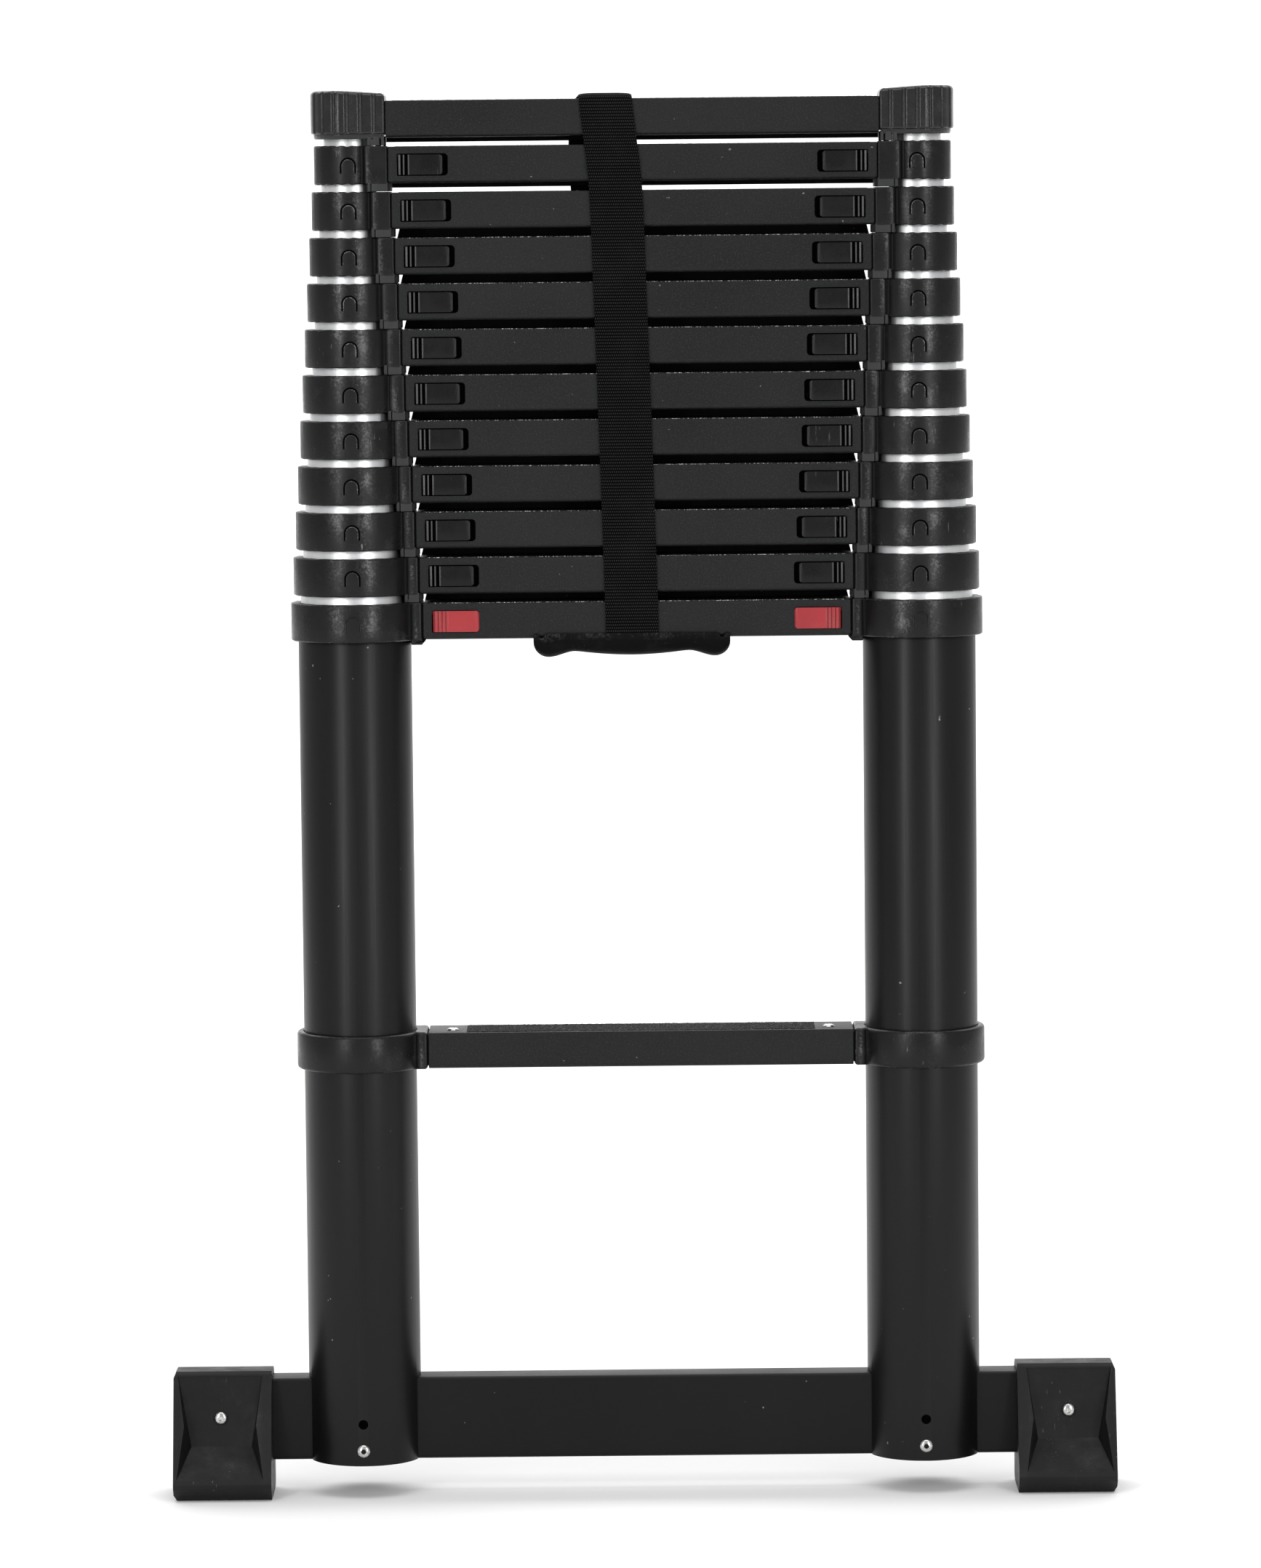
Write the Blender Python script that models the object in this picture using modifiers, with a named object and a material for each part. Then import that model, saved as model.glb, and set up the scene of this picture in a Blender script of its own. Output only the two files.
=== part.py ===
# Telescopic (extension) ladder, stowed: twelve nested pairs of tubes, a rung on the
# top of each pair, thumb latches in the rungs, a fixed lower rung, a wide stabiliser
# bar on two shoes, a carrying handle and a closing strap.
# Metres, +Z up, X along the rungs, -Y is the climbing side. Origin: floor, centre.
import bpy
import bmesh
from math import pi, cos, sin, radians

MM = 0.001

# ---------------------------------------------------------------- driving sizes
SECTIONS = 12                 # section 1 is the base, section 12 the top
AXIS = 190.0                  # tube axis, left and right of the middle
R_BASE, R_TOP = 38.0, 16.5    # outer radius of the widest and thinnest tube
WALL = 1.4                    # tube wall
TUBE_LEN = 352.0              # length of a sliding tube under its collar shoulder
SIDES = 20                    # facets of every round piece
RUNG_H = 24.3                 # rung height
RUNG_D = 42.0                 # rung depth, front to back
RUNG_T = 1.6                  # rung wall
PITCH = 30.5                  # rung to rung, stowed
EXT_PITCH = 290.0             # rung to rung, extended
Z_BASE = 593.15               # centre of the base section's top rung
Z_LOWER = Z_BASE - EXT_PITCH  # centre of the fixed lower rung
COLLAR_T = 4.7                # collar outside the tube
COLLAR_H = 25.4
BLOCK = 8.7                   # collar block, past the tube, where the rung starts
BLOCK_H, BLOCK_D = 24.9, 42.6
SHOULDER = 2.5                # the tube ends under this shoulder, above the collar's middle
FIT = 0.3                     # gap between pieces that touch
SLIDE_FIT = 0.4               # gap between a collar and the tube that slides in it
SLOT_IN, SLOT_L, SLOT_H, SLOT_DZ = 5.8, 33.0, 14.6, 0.0
PAD_L, PAD_PROUD = 28.3, 1.8
LATCH_TRAVEL = 3.5
CAP_R, CAP_UP = 25.0, 7.2     # top end cap
BAR_L, BAR_D, BAR_H, BAR_Z, BAR_T = 632.0, 25.0, 56.0, 23.0, 2.0
TUBE_FOOT_Z = 23.0
SHOE_W, SHOE_OUT = 66.5, 319.0
HANDLE_W, HANDLE_X, HANDLE_LIP, HANDLE_WALL = 132.0, -3.5, 3.3, 2.4
STRAP_W, STRAP_T = 35.5, 1.6
SKIRT_GAP, SKIRT_T, SKIRT_LAP = 0.5, 1.5, 1.0
GAP = PITCH - RUNG_H
FOOT = PITCH - RUNG_H / 2 - COLLAR_H / 2 - 0.4   # spacer under each collar block


def radius(s):
    """Outer radius of section s's tubes."""
    return R_BASE - (R_BASE - R_TOP) * (s - 1) / (SECTIONS - 1)


def seam(s):
    """Distance from the tube axis to where the rung leaves the collar block."""
    return radius(s) + BLOCK


# ---------------------------------------------------------------- scene and helpers
for old in list(bpy.data.objects):
    bpy.data.objects.remove(old)
ladder = bpy.data.collections.new("extension_ladder")
cutters = bpy.data.collections.new("cutters")
bpy.context.scene.collection.children.link(ladder)
bpy.context.scene.collection.children.link(cutters)


def material(name, colour, roughness, metallic=0.0):
    made = bpy.data.materials.new(name)
    made.use_nodes = True
    shader = made.node_tree.nodes["Principled BSDF"]
    shader.inputs["Base Color"].default_value = (*colour, 1.0)
    shader.inputs["Roughness"].default_value = roughness
    shader.inputs["Metallic"].default_value = metallic
    return made


BLACK_METAL = material("black_painted_aluminium", (0.028, 0.029, 0.030), 0.42, 0.3)
SILVER = material("anodised_aluminium", (0.72, 0.73, 0.74), 0.28, 1.0)
PLASTIC = material("black_nylon", (0.022, 0.022, 0.023), 0.38)
RED = material("red_latch_plastic", (0.62, 0.045, 0.055), 0.45)
RUBBER = material("black_rubber", (0.025, 0.025, 0.026), 0.7)
WEBBING = material("black_webbing", (0.012, 0.012, 0.012), 0.9)


def place(obj, parent, group=None, mat=None):
    """Parents the object, puts it in its collection and gives it its material."""
    for c in list(obj.users_collection):
        c.objects.unlink(obj)
    (group or ladder).objects.link(obj)
    obj.parent = parent
    if group is cutters:
        obj.hide_render = True
        obj.display_type = "WIRE"
    if mat:
        obj.data.materials.clear()
        obj.data.materials.append(mat)
    return obj


def box(name, x, y, z, parent, group=None, mat=None):
    """A box from x[0] to x[1], y[0] to y[1], z[0] to z[1], millimetres in the parent's frame."""
    bpy.ops.mesh.primitive_cube_add(size=1.0)
    obj = bpy.context.active_object
    obj.name = name
    lo = [min(p) * MM for p in (x, y, z)]
    hi = [max(p) * MM for p in (x, y, z)]
    for v in obj.data.vertices:
        v.co = [l + (c + 0.5) * (h - l) for l, h, c in zip(lo, hi, v.co)]
    return place(obj, parent, group, mat)


def rod(name, x, y, z, r, parent, group=None, mat=None, sides=SIDES):
    """An upright cylinder at x, y from z[0] to z[1]."""
    bpy.ops.mesh.primitive_cylinder_add(vertices=sides, radius=r * MM, depth=(z[1] - z[0]) * MM)
    obj = bpy.context.active_object
    obj.name = name
    for v in obj.data.vertices:
        v.co.x += x * MM
        v.co.y += y * MM
        v.co.z += (z[0] + z[1]) / 2 * MM
    return place(obj, parent, group, mat)


def turned(name, profile, x, parent, group=None, mat=None):
    """A turned shape about the upright axis at x; profile is (radius, z) from top to bottom."""
    mesh = bpy.data.meshes.new(name)
    points = [(r * MM, 0.0, z * MM) for r, z in profile]
    mesh.from_pydata(points, [(i, i + 1) for i in range(len(points) - 1)], [])
    obj = bpy.data.objects.new(name, mesh)
    place(obj, parent, group, mat)
    obj.location.x = x * MM
    screw = obj.modifiers.new("turn", "SCREW")
    screw.axis = "Z"
    screw.angle = 2 * pi
    screw.steps = screw.render_steps = SIDES
    screw.use_merge_vertices = True
    screw.merge_threshold = 0.00005
    screw.use_smooth_shade = False
    return obj


def boolean(obj, other, operation):
    m = obj.modifiers.new(other.name, "BOOLEAN")
    m.operation = operation
    m.solver = "EXACT"
    m.object = other
    return obj


def cut(obj, *others):
    for other in others:
        boolean(obj, other, "DIFFERENCE")


def join(obj, *others):
    for other in others:
        boolean(obj, other, "UNION")


def outline(name, points, depth, parent, mat=None, group=None):
    """A flat outline, extruded half its depth each way, as a mesh (points in the curve's own XY)."""
    curve = bpy.data.curves.new(name + "_outline", "CURVE")
    curve.dimensions = "2D"
    curve.fill_mode = "BOTH"
    curve.extrude = depth / 2 * MM
    line = curve.splines.new("POLY")
    line.points.add(len(points) - 1)
    for p, (a, b) in zip(line.points, points):
        p.co = (a * MM, b * MM, 0.0, 1.0)
    line.use_cyclic_u = True
    flat = bpy.data.objects.new(name + "_flat", curve)
    bpy.context.scene.collection.objects.link(flat)
    bpy.context.view_layer.update()
    graph = bpy.context.evaluated_depsgraph_get()
    mesh = bpy.data.meshes.new_from_object(flat.evaluated_get(graph))
    solid = bmesh.new()
    solid.from_mesh(mesh)
    bmesh.ops.remove_doubles(solid, verts=solid.verts, dist=1e-6)
    bmesh.ops.recalc_face_normals(solid, faces=solid.faces)
    solid.to_mesh(mesh)
    solid.free()
    obj = bpy.data.objects.new(name, mesh)
    place(obj, parent, group, mat)
    bpy.data.objects.remove(flat)
    return obj


# ---------------------------------------------------------------- section frames
frames = {}
above = None
for s in range(1, SECTIONS + 1):
    frame = bpy.data.objects.new(f"section_{s:02d}", None)
    ladder.objects.link(frame)
    frame.parent = above
    frame.location.z = (Z_BASE if s == 1 else PITCH) * MM
    frames[s] = above = frame
floor = bpy.data.objects.new("floor_frame", None)
ladder.objects.link(floor)
SIDE = (("left", -1), ("right", 1))


def rung_with_collars(name, s, parent, latched=True, foot=0.0, skirt=False, shoulder=True, with_tubes=False, mat=PLASTIC):
    """A rung extrusion and the two collars it is riveted to. The bores take the section's
    own tube from below and let the next thinner tube slide through from above."""
    r = radius(s)
    end = AXIS - seam(s)                      # half length of the bare rung
    h, d = RUNG_H / 2, RUNG_D / 2
    obj = box(name, (-end - 2, end + 2), (-d, d), (-h, h), parent, mat=mat)
    for side, k in SIDE:
        block = box(f"{name}_block_{side}", (k * end, k * (AXIS - 0.55 * r)), (-BLOCK_D / 2, BLOCK_D / 2),
                    (-BLOCK_H / 2, BLOCK_H / 2), parent, cutters)
        collar = rod(f"{name}_collar_{side}", k * AXIS, 0, (-COLLAR_H / 2, COLLAR_H / 2), r + COLLAR_T, parent, cutters)
        join(obj, block, collar)
        if foot:
            pad = box(f"{name}_spacer_{side}", (k * (end + 3.2), k * (AXIS - 0.72 * r)), (-d + 1, d - 1),
                      (-h - foot, -h + 2), parent, cutters)
            join(obj, pad)
    if skirt:
        length = AXIS - seam(s - 1) - 1.2
        bridge = box(f"{name}_lip_root", (-length, length), (d - 1, d + SKIRT_GAP + 0.8), (-h + 1, -h + 6), parent, cutters)
        lip = box(f"{name}_lip", (-length + 0.2, length - 0.2), (d + SKIRT_GAP, d + SKIRT_GAP + SKIRT_T),
                  (-h - GAP - SKIRT_LAP, -h + 6.5), parent, cutters)
        join(obj, bridge, lip)
    inner = radius(s) - (R_BASE - R_TOP) / (SECTIONS - 1)
    for side, k in SIDE:
        low, high = -COLLAR_H - 9, COLLAR_H
        if with_tubes:
            low = -TUBE_LEN - 20
            wall = rod(f"{name}_tube_{side}", k * AXIS, 0, (SHOULDER - TUBE_LEN, SHOULDER + 1), r, parent, cutters)
            join(obj, wall)
            profile = [(0, high), (inner + SLIDE_FIT, high), (inner + SLIDE_FIT, SHOULDER), (r - WALL, SHOULDER), (r - WALL, low), (0, low)]
        elif shoulder:
            profile = [(0, high), (inner + SLIDE_FIT, high), (inner + SLIDE_FIT, SHOULDER), (r + FIT, SHOULDER), (r + FIT, low), (0, low)]
        else:
            profile = [(0, high), (r + FIT, high), (r + FIT, low), (0, low)]
        cut(obj, turned(f"{name}_bore_{side}", profile, k * AXIS, parent, cutters))
    hollow = end - 1.0
    cut(obj, box(f"{name}_hollow", (-hollow, hollow), (-d + RUNG_T, d - RUNG_T), (-h + RUNG_T, h - RUNG_T), parent, cutters))
    for side, k in SIDE:
        if latched:
            a = end - SLOT_IN
            slot = box(f"{name}_slot_{side}", (k * (a - SLOT_L), k * a), (-d - 2, -d + RUNG_T + 1),
                       (SLOT_DZ - SLOT_H / 2, SLOT_DZ + SLOT_H / 2), parent, cutters)
            hole = box(f"{name}_pin_way_{side}", (k * (end - 4), k * (AXIS - inner + 2)), (-2.7, 2.7), (4.0, 9.0), parent, cutters)
            cut(obj, slot, hole)
        else:
            drain = box(f"{name}_drain_{side}", (k * (end - 24), k * (end - 14)), (-2.5, 2.5), (-h - 2, -h + RUNG_T + 1), parent, cutters)
            cut(obj, drain)
    return obj


def tube(name, s, k, top, bottom, parent, mat):
    """One tube, open at both ends: a turned wall."""
    r = radius(s)
    return turned(name, [(r - WALL, top), (r, top), (r, bottom), (r - WALL, bottom), (r - WALL, top)], k * AXIS, parent, mat=mat)


def latch(name, s, k, parent, mat):
    """A thumb latch: the pad in the rung's slot, the carriage behind it and the lock pin,
    which is one moulding, pushed outwards by its spring and pulled inwards by the thumb."""
    end = AXIS - seam(s)
    d, h = RUNG_D / 2, RUNG_H / 2
    a = end - SLOT_IN                        # outer end of the slot
    inner = radius(s) - (R_BASE - R_TOP) / (SECTIONS - 1)
    origin = a - SLOT_L / 2
    holder = bpy.data.objects.new(name + "_axis", None)
    ladder.objects.link(holder)
    holder.parent = parent
    holder.location = (k * origin * MM, -d * MM, SLOT_DZ * MM)

    def local(part, x, y, z, group=None, m=None):
        return box(part, [p - k * origin for p in x], [p + d for p in y], [p - SLOT_DZ for p in z], holder, group, m)

    pad_out = a - 1.0
    obj = local(name, (k * (pad_out - PAD_L), k * pad_out), (-d - PAD_PROUD, -d + 3.4),
                (SLOT_DZ - SLOT_H / 2 + 0.6, SLOT_DZ + SLOT_H / 2 - 0.6), None, mat)
    carriage = local(name + "_carriage", (k * (a - SLOT_L - 0.6), k * (a + 2.4)), (-d + RUNG_T + 0.4, -d + 5.0), (-h + 2.2, h - 3.0), cutters)
    arm = local(name + "_arm", (k * (a - 1.5), k * (a + 2.2)), (-d + 3, 2.0), (4.5, 8.4), cutters)
    pin = local(name + "_pin", (k * (a - 1.2), k * (AXIS - inner - 0.8)), (-1.9, 1.9), (4.7, 8.2), cutters)
    join(obj, carriage, arm, pin)
    return obj


# ---------------------------------------------------------------- base section
base_bottom = TUBE_FOOT_Z - Z_BASE
for side, k in SIDE:
    obj = tube(f"base_tube_{side}", 1, k, SHOULDER - FIT, base_bottom, frames[1], BLACK_METAL)
    # the stabiliser bar passes through the tube, in a notch that is open at the foot
    notch = box(f"base_tube_{side}_notch", (k * AXIS - 50, k * AXIS + 50), (-BAR_D / 2 - 0.4, BAR_D / 2 + 0.4),
                (base_bottom - 10, BAR_Z + BAR_H + 0.4 - Z_BASE), frames[1], cutters)
    cut(obj, notch)
    # a cross hole above the rivet, in the front wall
    bpy.ops.mesh.primitive_cylinder_add(vertices=12, radius=3.3 * MM, depth=20 * MM, rotation=(pi / 2, 0, 0))
    hole = bpy.context.active_object
    hole.name = f"base_tube_{side}_hole"
    place(hole, frames[1], cutters)
    hole.location = (k * AXIS * MM, -R_BASE * MM, (51 - Z_BASE) * MM)
    cut(obj, hole)

rung_with_collars("base_rung", 1, frames[1], foot=3.0)
lower = bpy.data.objects.new("lower_rung_frame", None)
ladder.objects.link(lower)
lower.location.z = Z_LOWER * MM
rung_with_collars("lower_rung", 1, lower, latched=False, shoulder=False)

bar = box("stabiliser_bar", (-BAR_L / 2, BAR_L / 2), (-BAR_D / 2, BAR_D / 2), (BAR_Z, BAR_Z + BAR_H), floor, mat=BLACK_METAL)
cut(bar, box("bar_hollow", (-BAR_L, BAR_L), (-BAR_D / 2 + BAR_T, BAR_D / 2 - BAR_T), (BAR_Z + BAR_T, BAR_Z + BAR_H - BAR_T), floor, cutters))

# shoes: a wedge, deeper at the floor, seen from the side as (y, z), with a rounded heel
heel = [(8 + 7 * sin(radians(t)), 7 - 7 * cos(radians(t))) for t in range(0, 91, 15)]
shoe_outline = [(-34, 0)] + heel + [(15, 79), (9, 85.5), (-16, 85.5), (-19.5, 82.5), (-42.5, 12), (-42.2, 9)]
for side, k in SIDE:
    shoe = outline(f"shoe_{side}", shoe_outline, SHOE_W, floor, RUBBER)
    shoe.rotation_euler = (pi / 2, 0, pi / 2)       # outline (y, z) stands up, extruded along X
    mid = k * (SHOE_OUT - SHOE_W / 2)
    shoe.location.x = mid * MM
    socket = box(f"shoe_{side}_socket", (k * (SHOE_OUT - SHOE_W - 5), k * (BAR_L / 2 + 0.4)), (-BAR_D / 2 - FIT, BAR_D / 2 + FIT),
                 (BAR_Z - FIT, BAR_Z + BAR_H + FIT), floor, cutters)
    # the pocket in the sloping front: an upright back wall, slanted cheeks and a ramp out at the foot
    pocket = bmesh.new()
    bmesh.ops.create_cube(pocket, size=1.0)
    corners = {(-1, -1, 1): (-30.5, -60, 81), (1, -1, 1): (30.5, -60, 81), (-1, 1, 1): (-28.8, -19.2, 81), (1, 1, 1): (28.8, -19.2, 81),
               (-1, -1, -1): (-30.5, -60, 2), (1, -1, -1): (30.5, -60, 2), (-1, 1, -1): (-20.5, -15.4, 33.5), (1, 1, -1): (20.5, -15.4, 33.5)}
    for v in pocket.verts:
        x, y, z = corners[tuple(1 if c > 0 else -1 for c in v.co)]
        v.co = ((x + mid) * MM, y * MM, z * MM)
    bmesh.ops.triangulate(pocket, faces=pocket.faces)
    bmesh.ops.recalc_face_normals(pocket, faces=pocket.faces)
    mesh = bpy.data.meshes.new(f"shoe_{side}_pocket")
    pocket.to_mesh(mesh)
    pocket.free()
    hollow = bpy.data.objects.new(f"shoe_{side}_pocket", mesh)
    place(hollow, floor, cutters)
    cut(shoe, socket, hollow)

# carrying handle: a grip that clips round the base rung from below, with a lobe at
# each end and a belly between two waists
steps = 32
wave = []
for i in range(steps + 1):
    u = -1 + 2 * i / steps
    a = abs(u)
    if a < 0.565:
        dip = 8.8 + 3.0 * cos(pi / 2 * a / 0.565)
    elif a < 0.85:
        dip = 8.8 + 4.2 * sin(pi / 2 * (a - 0.565) / 0.285)
    else:
        dip = 3.0 + 10.0 * max(0.0, 1 - ((a - 0.85) / 0.152) ** 2) ** 0.5
    wave.append((HANDLE_X + u * HANDLE_W / 2, -RUNG_H / 2 - dip))
grip_outline = wave + [(HANDLE_X + HANDLE_W / 2, -RUNG_H / 2 + HANDLE_LIP), (HANDLE_X - HANDLE_W / 2, -RUNG_H / 2 + HANDLE_LIP)]
handle = outline("carry_handle", grip_outline, RUNG_D + 2 * HANDLE_WALL, frames[1], PLASTIC)
handle.rotation_euler = (pi / 2, 0, 0)              # outline (x, z) stands up, extruded along Y
h, d = RUNG_H / 2, RUNG_D / 2
cut(handle, box("handle_channel", (HANDLE_X - HANDLE_W, HANDLE_X + HANDLE_W), (-d - FIT, d + FIT), (-h - FIT, h), frames[1], cutters))

# ---------------------------------------------------------------- sliding sections
for s in range(2, SECTIONS - 1):
    rung_with_collars(f"rung_{s:02d}", s, frames[s], foot=FOOT, skirt=True)
    for side, k in SIDE:
        tube(f"tube_{side}_{s:02d}", s, k, SHOULDER - FIT, SHOULDER - TUBE_LEN, frames[s], SILVER)

# section 11 is one assembly: its rung, collars and both tubes
rung_with_collars("section_11_frame", SECTIONS - 1, frames[SECTIONS - 1], foot=FOOT, with_tubes=True)

# top section: top rung, end caps and both tubes, one assembly
s = SECTIONS
r, h, d, end = radius(s), RUNG_H / 2, RUNG_D / 2, AXIS - (26.0)
top = box("section_12_frame", (-end - 2, end + 2), (-d, d), (-h, h), frames[s], mat=PLASTIC)
for side, k in SIDE:
    block = box(f"top_block_{side}", (k * end, k * (AXIS - 8)), (-18.2, 18.2), (-h - 0.2, h + CAP_UP - 0.3), frames[s], cutters)
    cap = rod(f"top_cap_{side}", k * AXIS, 0, (-h + 2.5, h + CAP_UP), CAP_R, frames[s], cutters)
    lip = rod(f"top_cap_lip_{side}", k * AXIS, 0, (-h - 0.4, -h + 4), CAP_R - 1.6, frames[s], cutters)
    wall = rod(f"top_tube_{side}", k * AXIS, 0, (SHOULDER - TUBE_LEN, 5), r, frames[s], cutters)
    pad = box(f"top_spacer_{side}", (k * (AXIS - 22.6), k * (AXIS - 0.72 * r)), (-d + 1, d - 1), (-h - FOOT, -h + 2), frames[s], cutters)
    join(top, block, cap, lip, pad, wall)
for side, k in SIDE:
    cut(top, rod(f"top_tube_bore_{side}", k * AXIS, 0, (SHOULDER - TUBE_LEN - 5, 3), r - WALL, frames[s], cutters))
    cut(top, box(f"top_drain_{side}", (k * (end - 24), k * (end - 14)), (-2.5, 2.5), (-h - 2, -h + RUNG_T + 1), frames[s], cutters))
cut(top, box("top_hollow", (-end + 1, end - 1), (-d + RUNG_T, d - RUNG_T), (-h + RUNG_T, h - RUNG_T), frames[s], cutters))

# ---------------------------------------------------------------- thumb latches
for s in range(1, SECTIONS):
    for side, k in SIDE:
        latch(f"latch_{side}_{s:02d}", s, k, frames[s], RED if s == 1 else PLASTIC)

# ---------------------------------------------------------------- closing strap
# A flat webbing band that hangs over the top rung: front leg down to the handle,
# back leg down behind the rungs, both leaning a little to the left at the top.
top_z = (SECTIONS - 1) * PITCH + RUNG_H / 2          # in section 1's frame
low_z = -RUNG_H / 2 + HANDLE_LIP + 0.4
front_y, back_y = -RUNG_D / 2 - FIT - STRAP_T / 2, RUNG_D / 2 + SKIRT_GAP + SKIRT_T + FIT + STRAP_T / 2


def strap_x(z, leg):
    """Sideways place of the band's middle at height z."""
    u = max(0.0, min(1.0, (z - low_z) / (top_z - low_z)))
    return -3.0 - 15.0 * (0.55 * u + 0.45 * u ** 3) if leg == "front" else -9.0 - 18.0 * u


line = []
n = 10
for i in range(n + 1):
    z = low_z + (top_z - 1 - low_z) * i / n
    line.append((strap_x(z, "front"), front_y, z))
for y, up in ((front_y, 0.6), (-21.0, 1.8), (-17, 2.0), (-6, 3.0), (6, 3.0), (18, 2.0), (22.4, 1.8), (back_y, 0.6)):
    mix = (y - front_y) / (back_y - front_y)
    line.append((strap_x(top_z, "front") * (1 - mix) + strap_x(top_z, "back") * mix, y, top_z + up))
for i in range(n + 1):
    z = top_z - 1 - (top_z - 1 - low_z) * i / n
    line.append((strap_x(z, "back"), back_y, z))
band = bmesh.new()
rows = [[band.verts.new(((x + e * STRAP_W / 2) * MM, y * MM, z * MM)) for e in (-1, 1)] for x, y, z in line]
for (a, b), (c, e) in zip(rows, rows[1:]):
    band.faces.new((a, b, e, c))
bmesh.ops.recalc_face_normals(band, faces=band.faces)
mesh = bpy.data.meshes.new("strap")
band.to_mesh(mesh)
band.free()
strap = bpy.data.objects.new("strap", mesh)
place(strap, frames[1], mat=WEBBING)
thick = strap.modifiers.new("webbing", "SOLIDIFY")
thick.thickness = STRAP_T * MM
thick.offset = 0.0
thick.use_even_offset = True
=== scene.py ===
# Looks for the stowed telescopic ladder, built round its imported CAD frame.
# Every mesh is made in the row frame: numbers in the helpers are millimetres, +Z up,
# the climber stands on the -Y side.
from math import atan2, cos, hypot, pi, radians, sin, sqrt, tan

import bmesh
import bpy
import numpy as np
from mathutils import Euler, Matrix, Vector


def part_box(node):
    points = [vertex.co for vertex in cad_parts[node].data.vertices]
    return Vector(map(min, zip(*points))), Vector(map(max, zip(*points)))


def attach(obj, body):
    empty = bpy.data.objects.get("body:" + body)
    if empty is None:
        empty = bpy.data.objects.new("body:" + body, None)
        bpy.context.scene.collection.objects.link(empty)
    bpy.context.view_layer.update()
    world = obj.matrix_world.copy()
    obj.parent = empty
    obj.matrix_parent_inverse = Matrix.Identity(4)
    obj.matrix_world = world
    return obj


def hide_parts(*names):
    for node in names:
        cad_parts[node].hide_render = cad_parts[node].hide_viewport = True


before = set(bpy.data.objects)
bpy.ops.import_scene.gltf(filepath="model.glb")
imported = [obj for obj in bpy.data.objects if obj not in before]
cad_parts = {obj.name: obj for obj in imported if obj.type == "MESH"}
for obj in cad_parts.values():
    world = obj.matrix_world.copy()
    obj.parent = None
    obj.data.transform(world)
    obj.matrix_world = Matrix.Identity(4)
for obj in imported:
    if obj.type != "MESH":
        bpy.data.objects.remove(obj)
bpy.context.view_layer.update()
MM = 0.001
rng = np.random.default_rng(11)

# ------------------------------------------------------------ sizes, read off the frame
S = 12
SIDES = (("left", -1), ("right", 1))
_lo, _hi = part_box("tube_left_02")
AX = -500 * (_lo.x + _hi.x)                              # tube axis
R_TOP, STEP = 16.5, 0.0
_b0, _b1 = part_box("base_tube_left")
R_BASE = 500 * (_b1.y - _b0.y)
AX = -500 * (_b0.x + _b1.x)
STEP = (R_BASE - R_TOP) / (S - 1)
RUNG_H, RUNG_D, WALL = 24.3, 42.0, 1.4
H, D = RUNG_H / 2, RUNG_D / 2
_l0, _l1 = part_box("tube_left_02")
_m0, _m1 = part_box("tube_left_03")
PITCH = 1000 * (_m1.z - _l1.z)
SHOULDER_GAP = 2.2
Z2 = 1000 * _l1.z - SHOULDER_GAP                        # centre of section 2's rung
TUBE_LEN = 1000 * (_l1.z - _l0.z)


def zc(s):
    """Centre height of section s's rung."""
    return Z2 + (s - 2) * PITCH


_r0, _r1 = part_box("lower_rung")
Z_LOW = 500 * (_r0.z + _r1.z)


def radius(s):
    return R_BASE - STEP * (s - 1)


BLOCK, COLLAR_T, COLLAR_H = 8.7, 4.7, 25.4
_s0, _s1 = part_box("stabiliser_bar")
BAR = (1000 * _s1.x, 500 * (_s1.y - _s0.y), 1000 * _s0.z, 1000 * _s1.z)


# ------------------------------------------------------------ materials
def new_material(name, colour, rough, metallic=0.0, spec=None, coat=0.0):
    m = bpy.data.materials.new(name)
    m.use_nodes = True
    sh = m.node_tree.nodes["Principled BSDF"]
    sh.inputs["Base Color"].default_value = (*colour, 1)
    sh.inputs["Roughness"].default_value = rough
    sh.inputs["Metallic"].default_value = metallic
    if spec is not None:
        sh.inputs["Specular IOR Level"].default_value = spec
    if coat:
        sh.inputs["Coat Weight"].default_value = coat
        sh.inputs["Coat Roughness"].default_value = 0.25
    return m, m.node_tree, sh


def n(tree, kind, **values):
    node = tree.nodes.new(kind)
    for key, value in values.items():
        if key in ("operation", "blend_type", "data_type", "feature", "distance", "interpolation_type", "noise_dimensions", "voronoi_dimensions", "wave_type", "bands_direction", "wave_profile", "clamp", "invert"):
            setattr(node, key, value)
        else:
            node.inputs[key.replace("_", " ")].default_value = value
    return node


def coords(tree, scale=(1, 1, 1)):
    tc = tree.nodes.new("ShaderNodeTexCoord")
    mp = tree.nodes.new("ShaderNodeMapping")
    mp.inputs["Scale"].default_value = scale
    tree.links.new(tc.outputs["Object"], mp.inputs["Vector"])
    return mp.outputs["Vector"]


def noise(tree, vec, scale, detail=4.0, rough=0.55, distortion=0.0):
    node = n(tree, "ShaderNodeTexNoise")
    node.inputs["Scale"].default_value = scale
    node.inputs["Detail"].default_value = detail
    node.inputs["Roughness"].default_value = rough
    node.inputs["Distortion"].default_value = distortion
    tree.links.new(vec, node.inputs["Vector"])
    return node.outputs["Fac"]


def remap(tree, value, a, b, c, d, smooth=False):
    node = tree.nodes.new("ShaderNodeMapRange")
    if smooth:
        node.interpolation_type = "SMOOTHSTEP"
    node.inputs["From Min"].default_value = a
    node.inputs["From Max"].default_value = b
    node.inputs["To Min"].default_value = c
    node.inputs["To Max"].default_value = d
    tree.links.new(value, node.inputs["Value"])
    return node.outputs["Result"]


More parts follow.
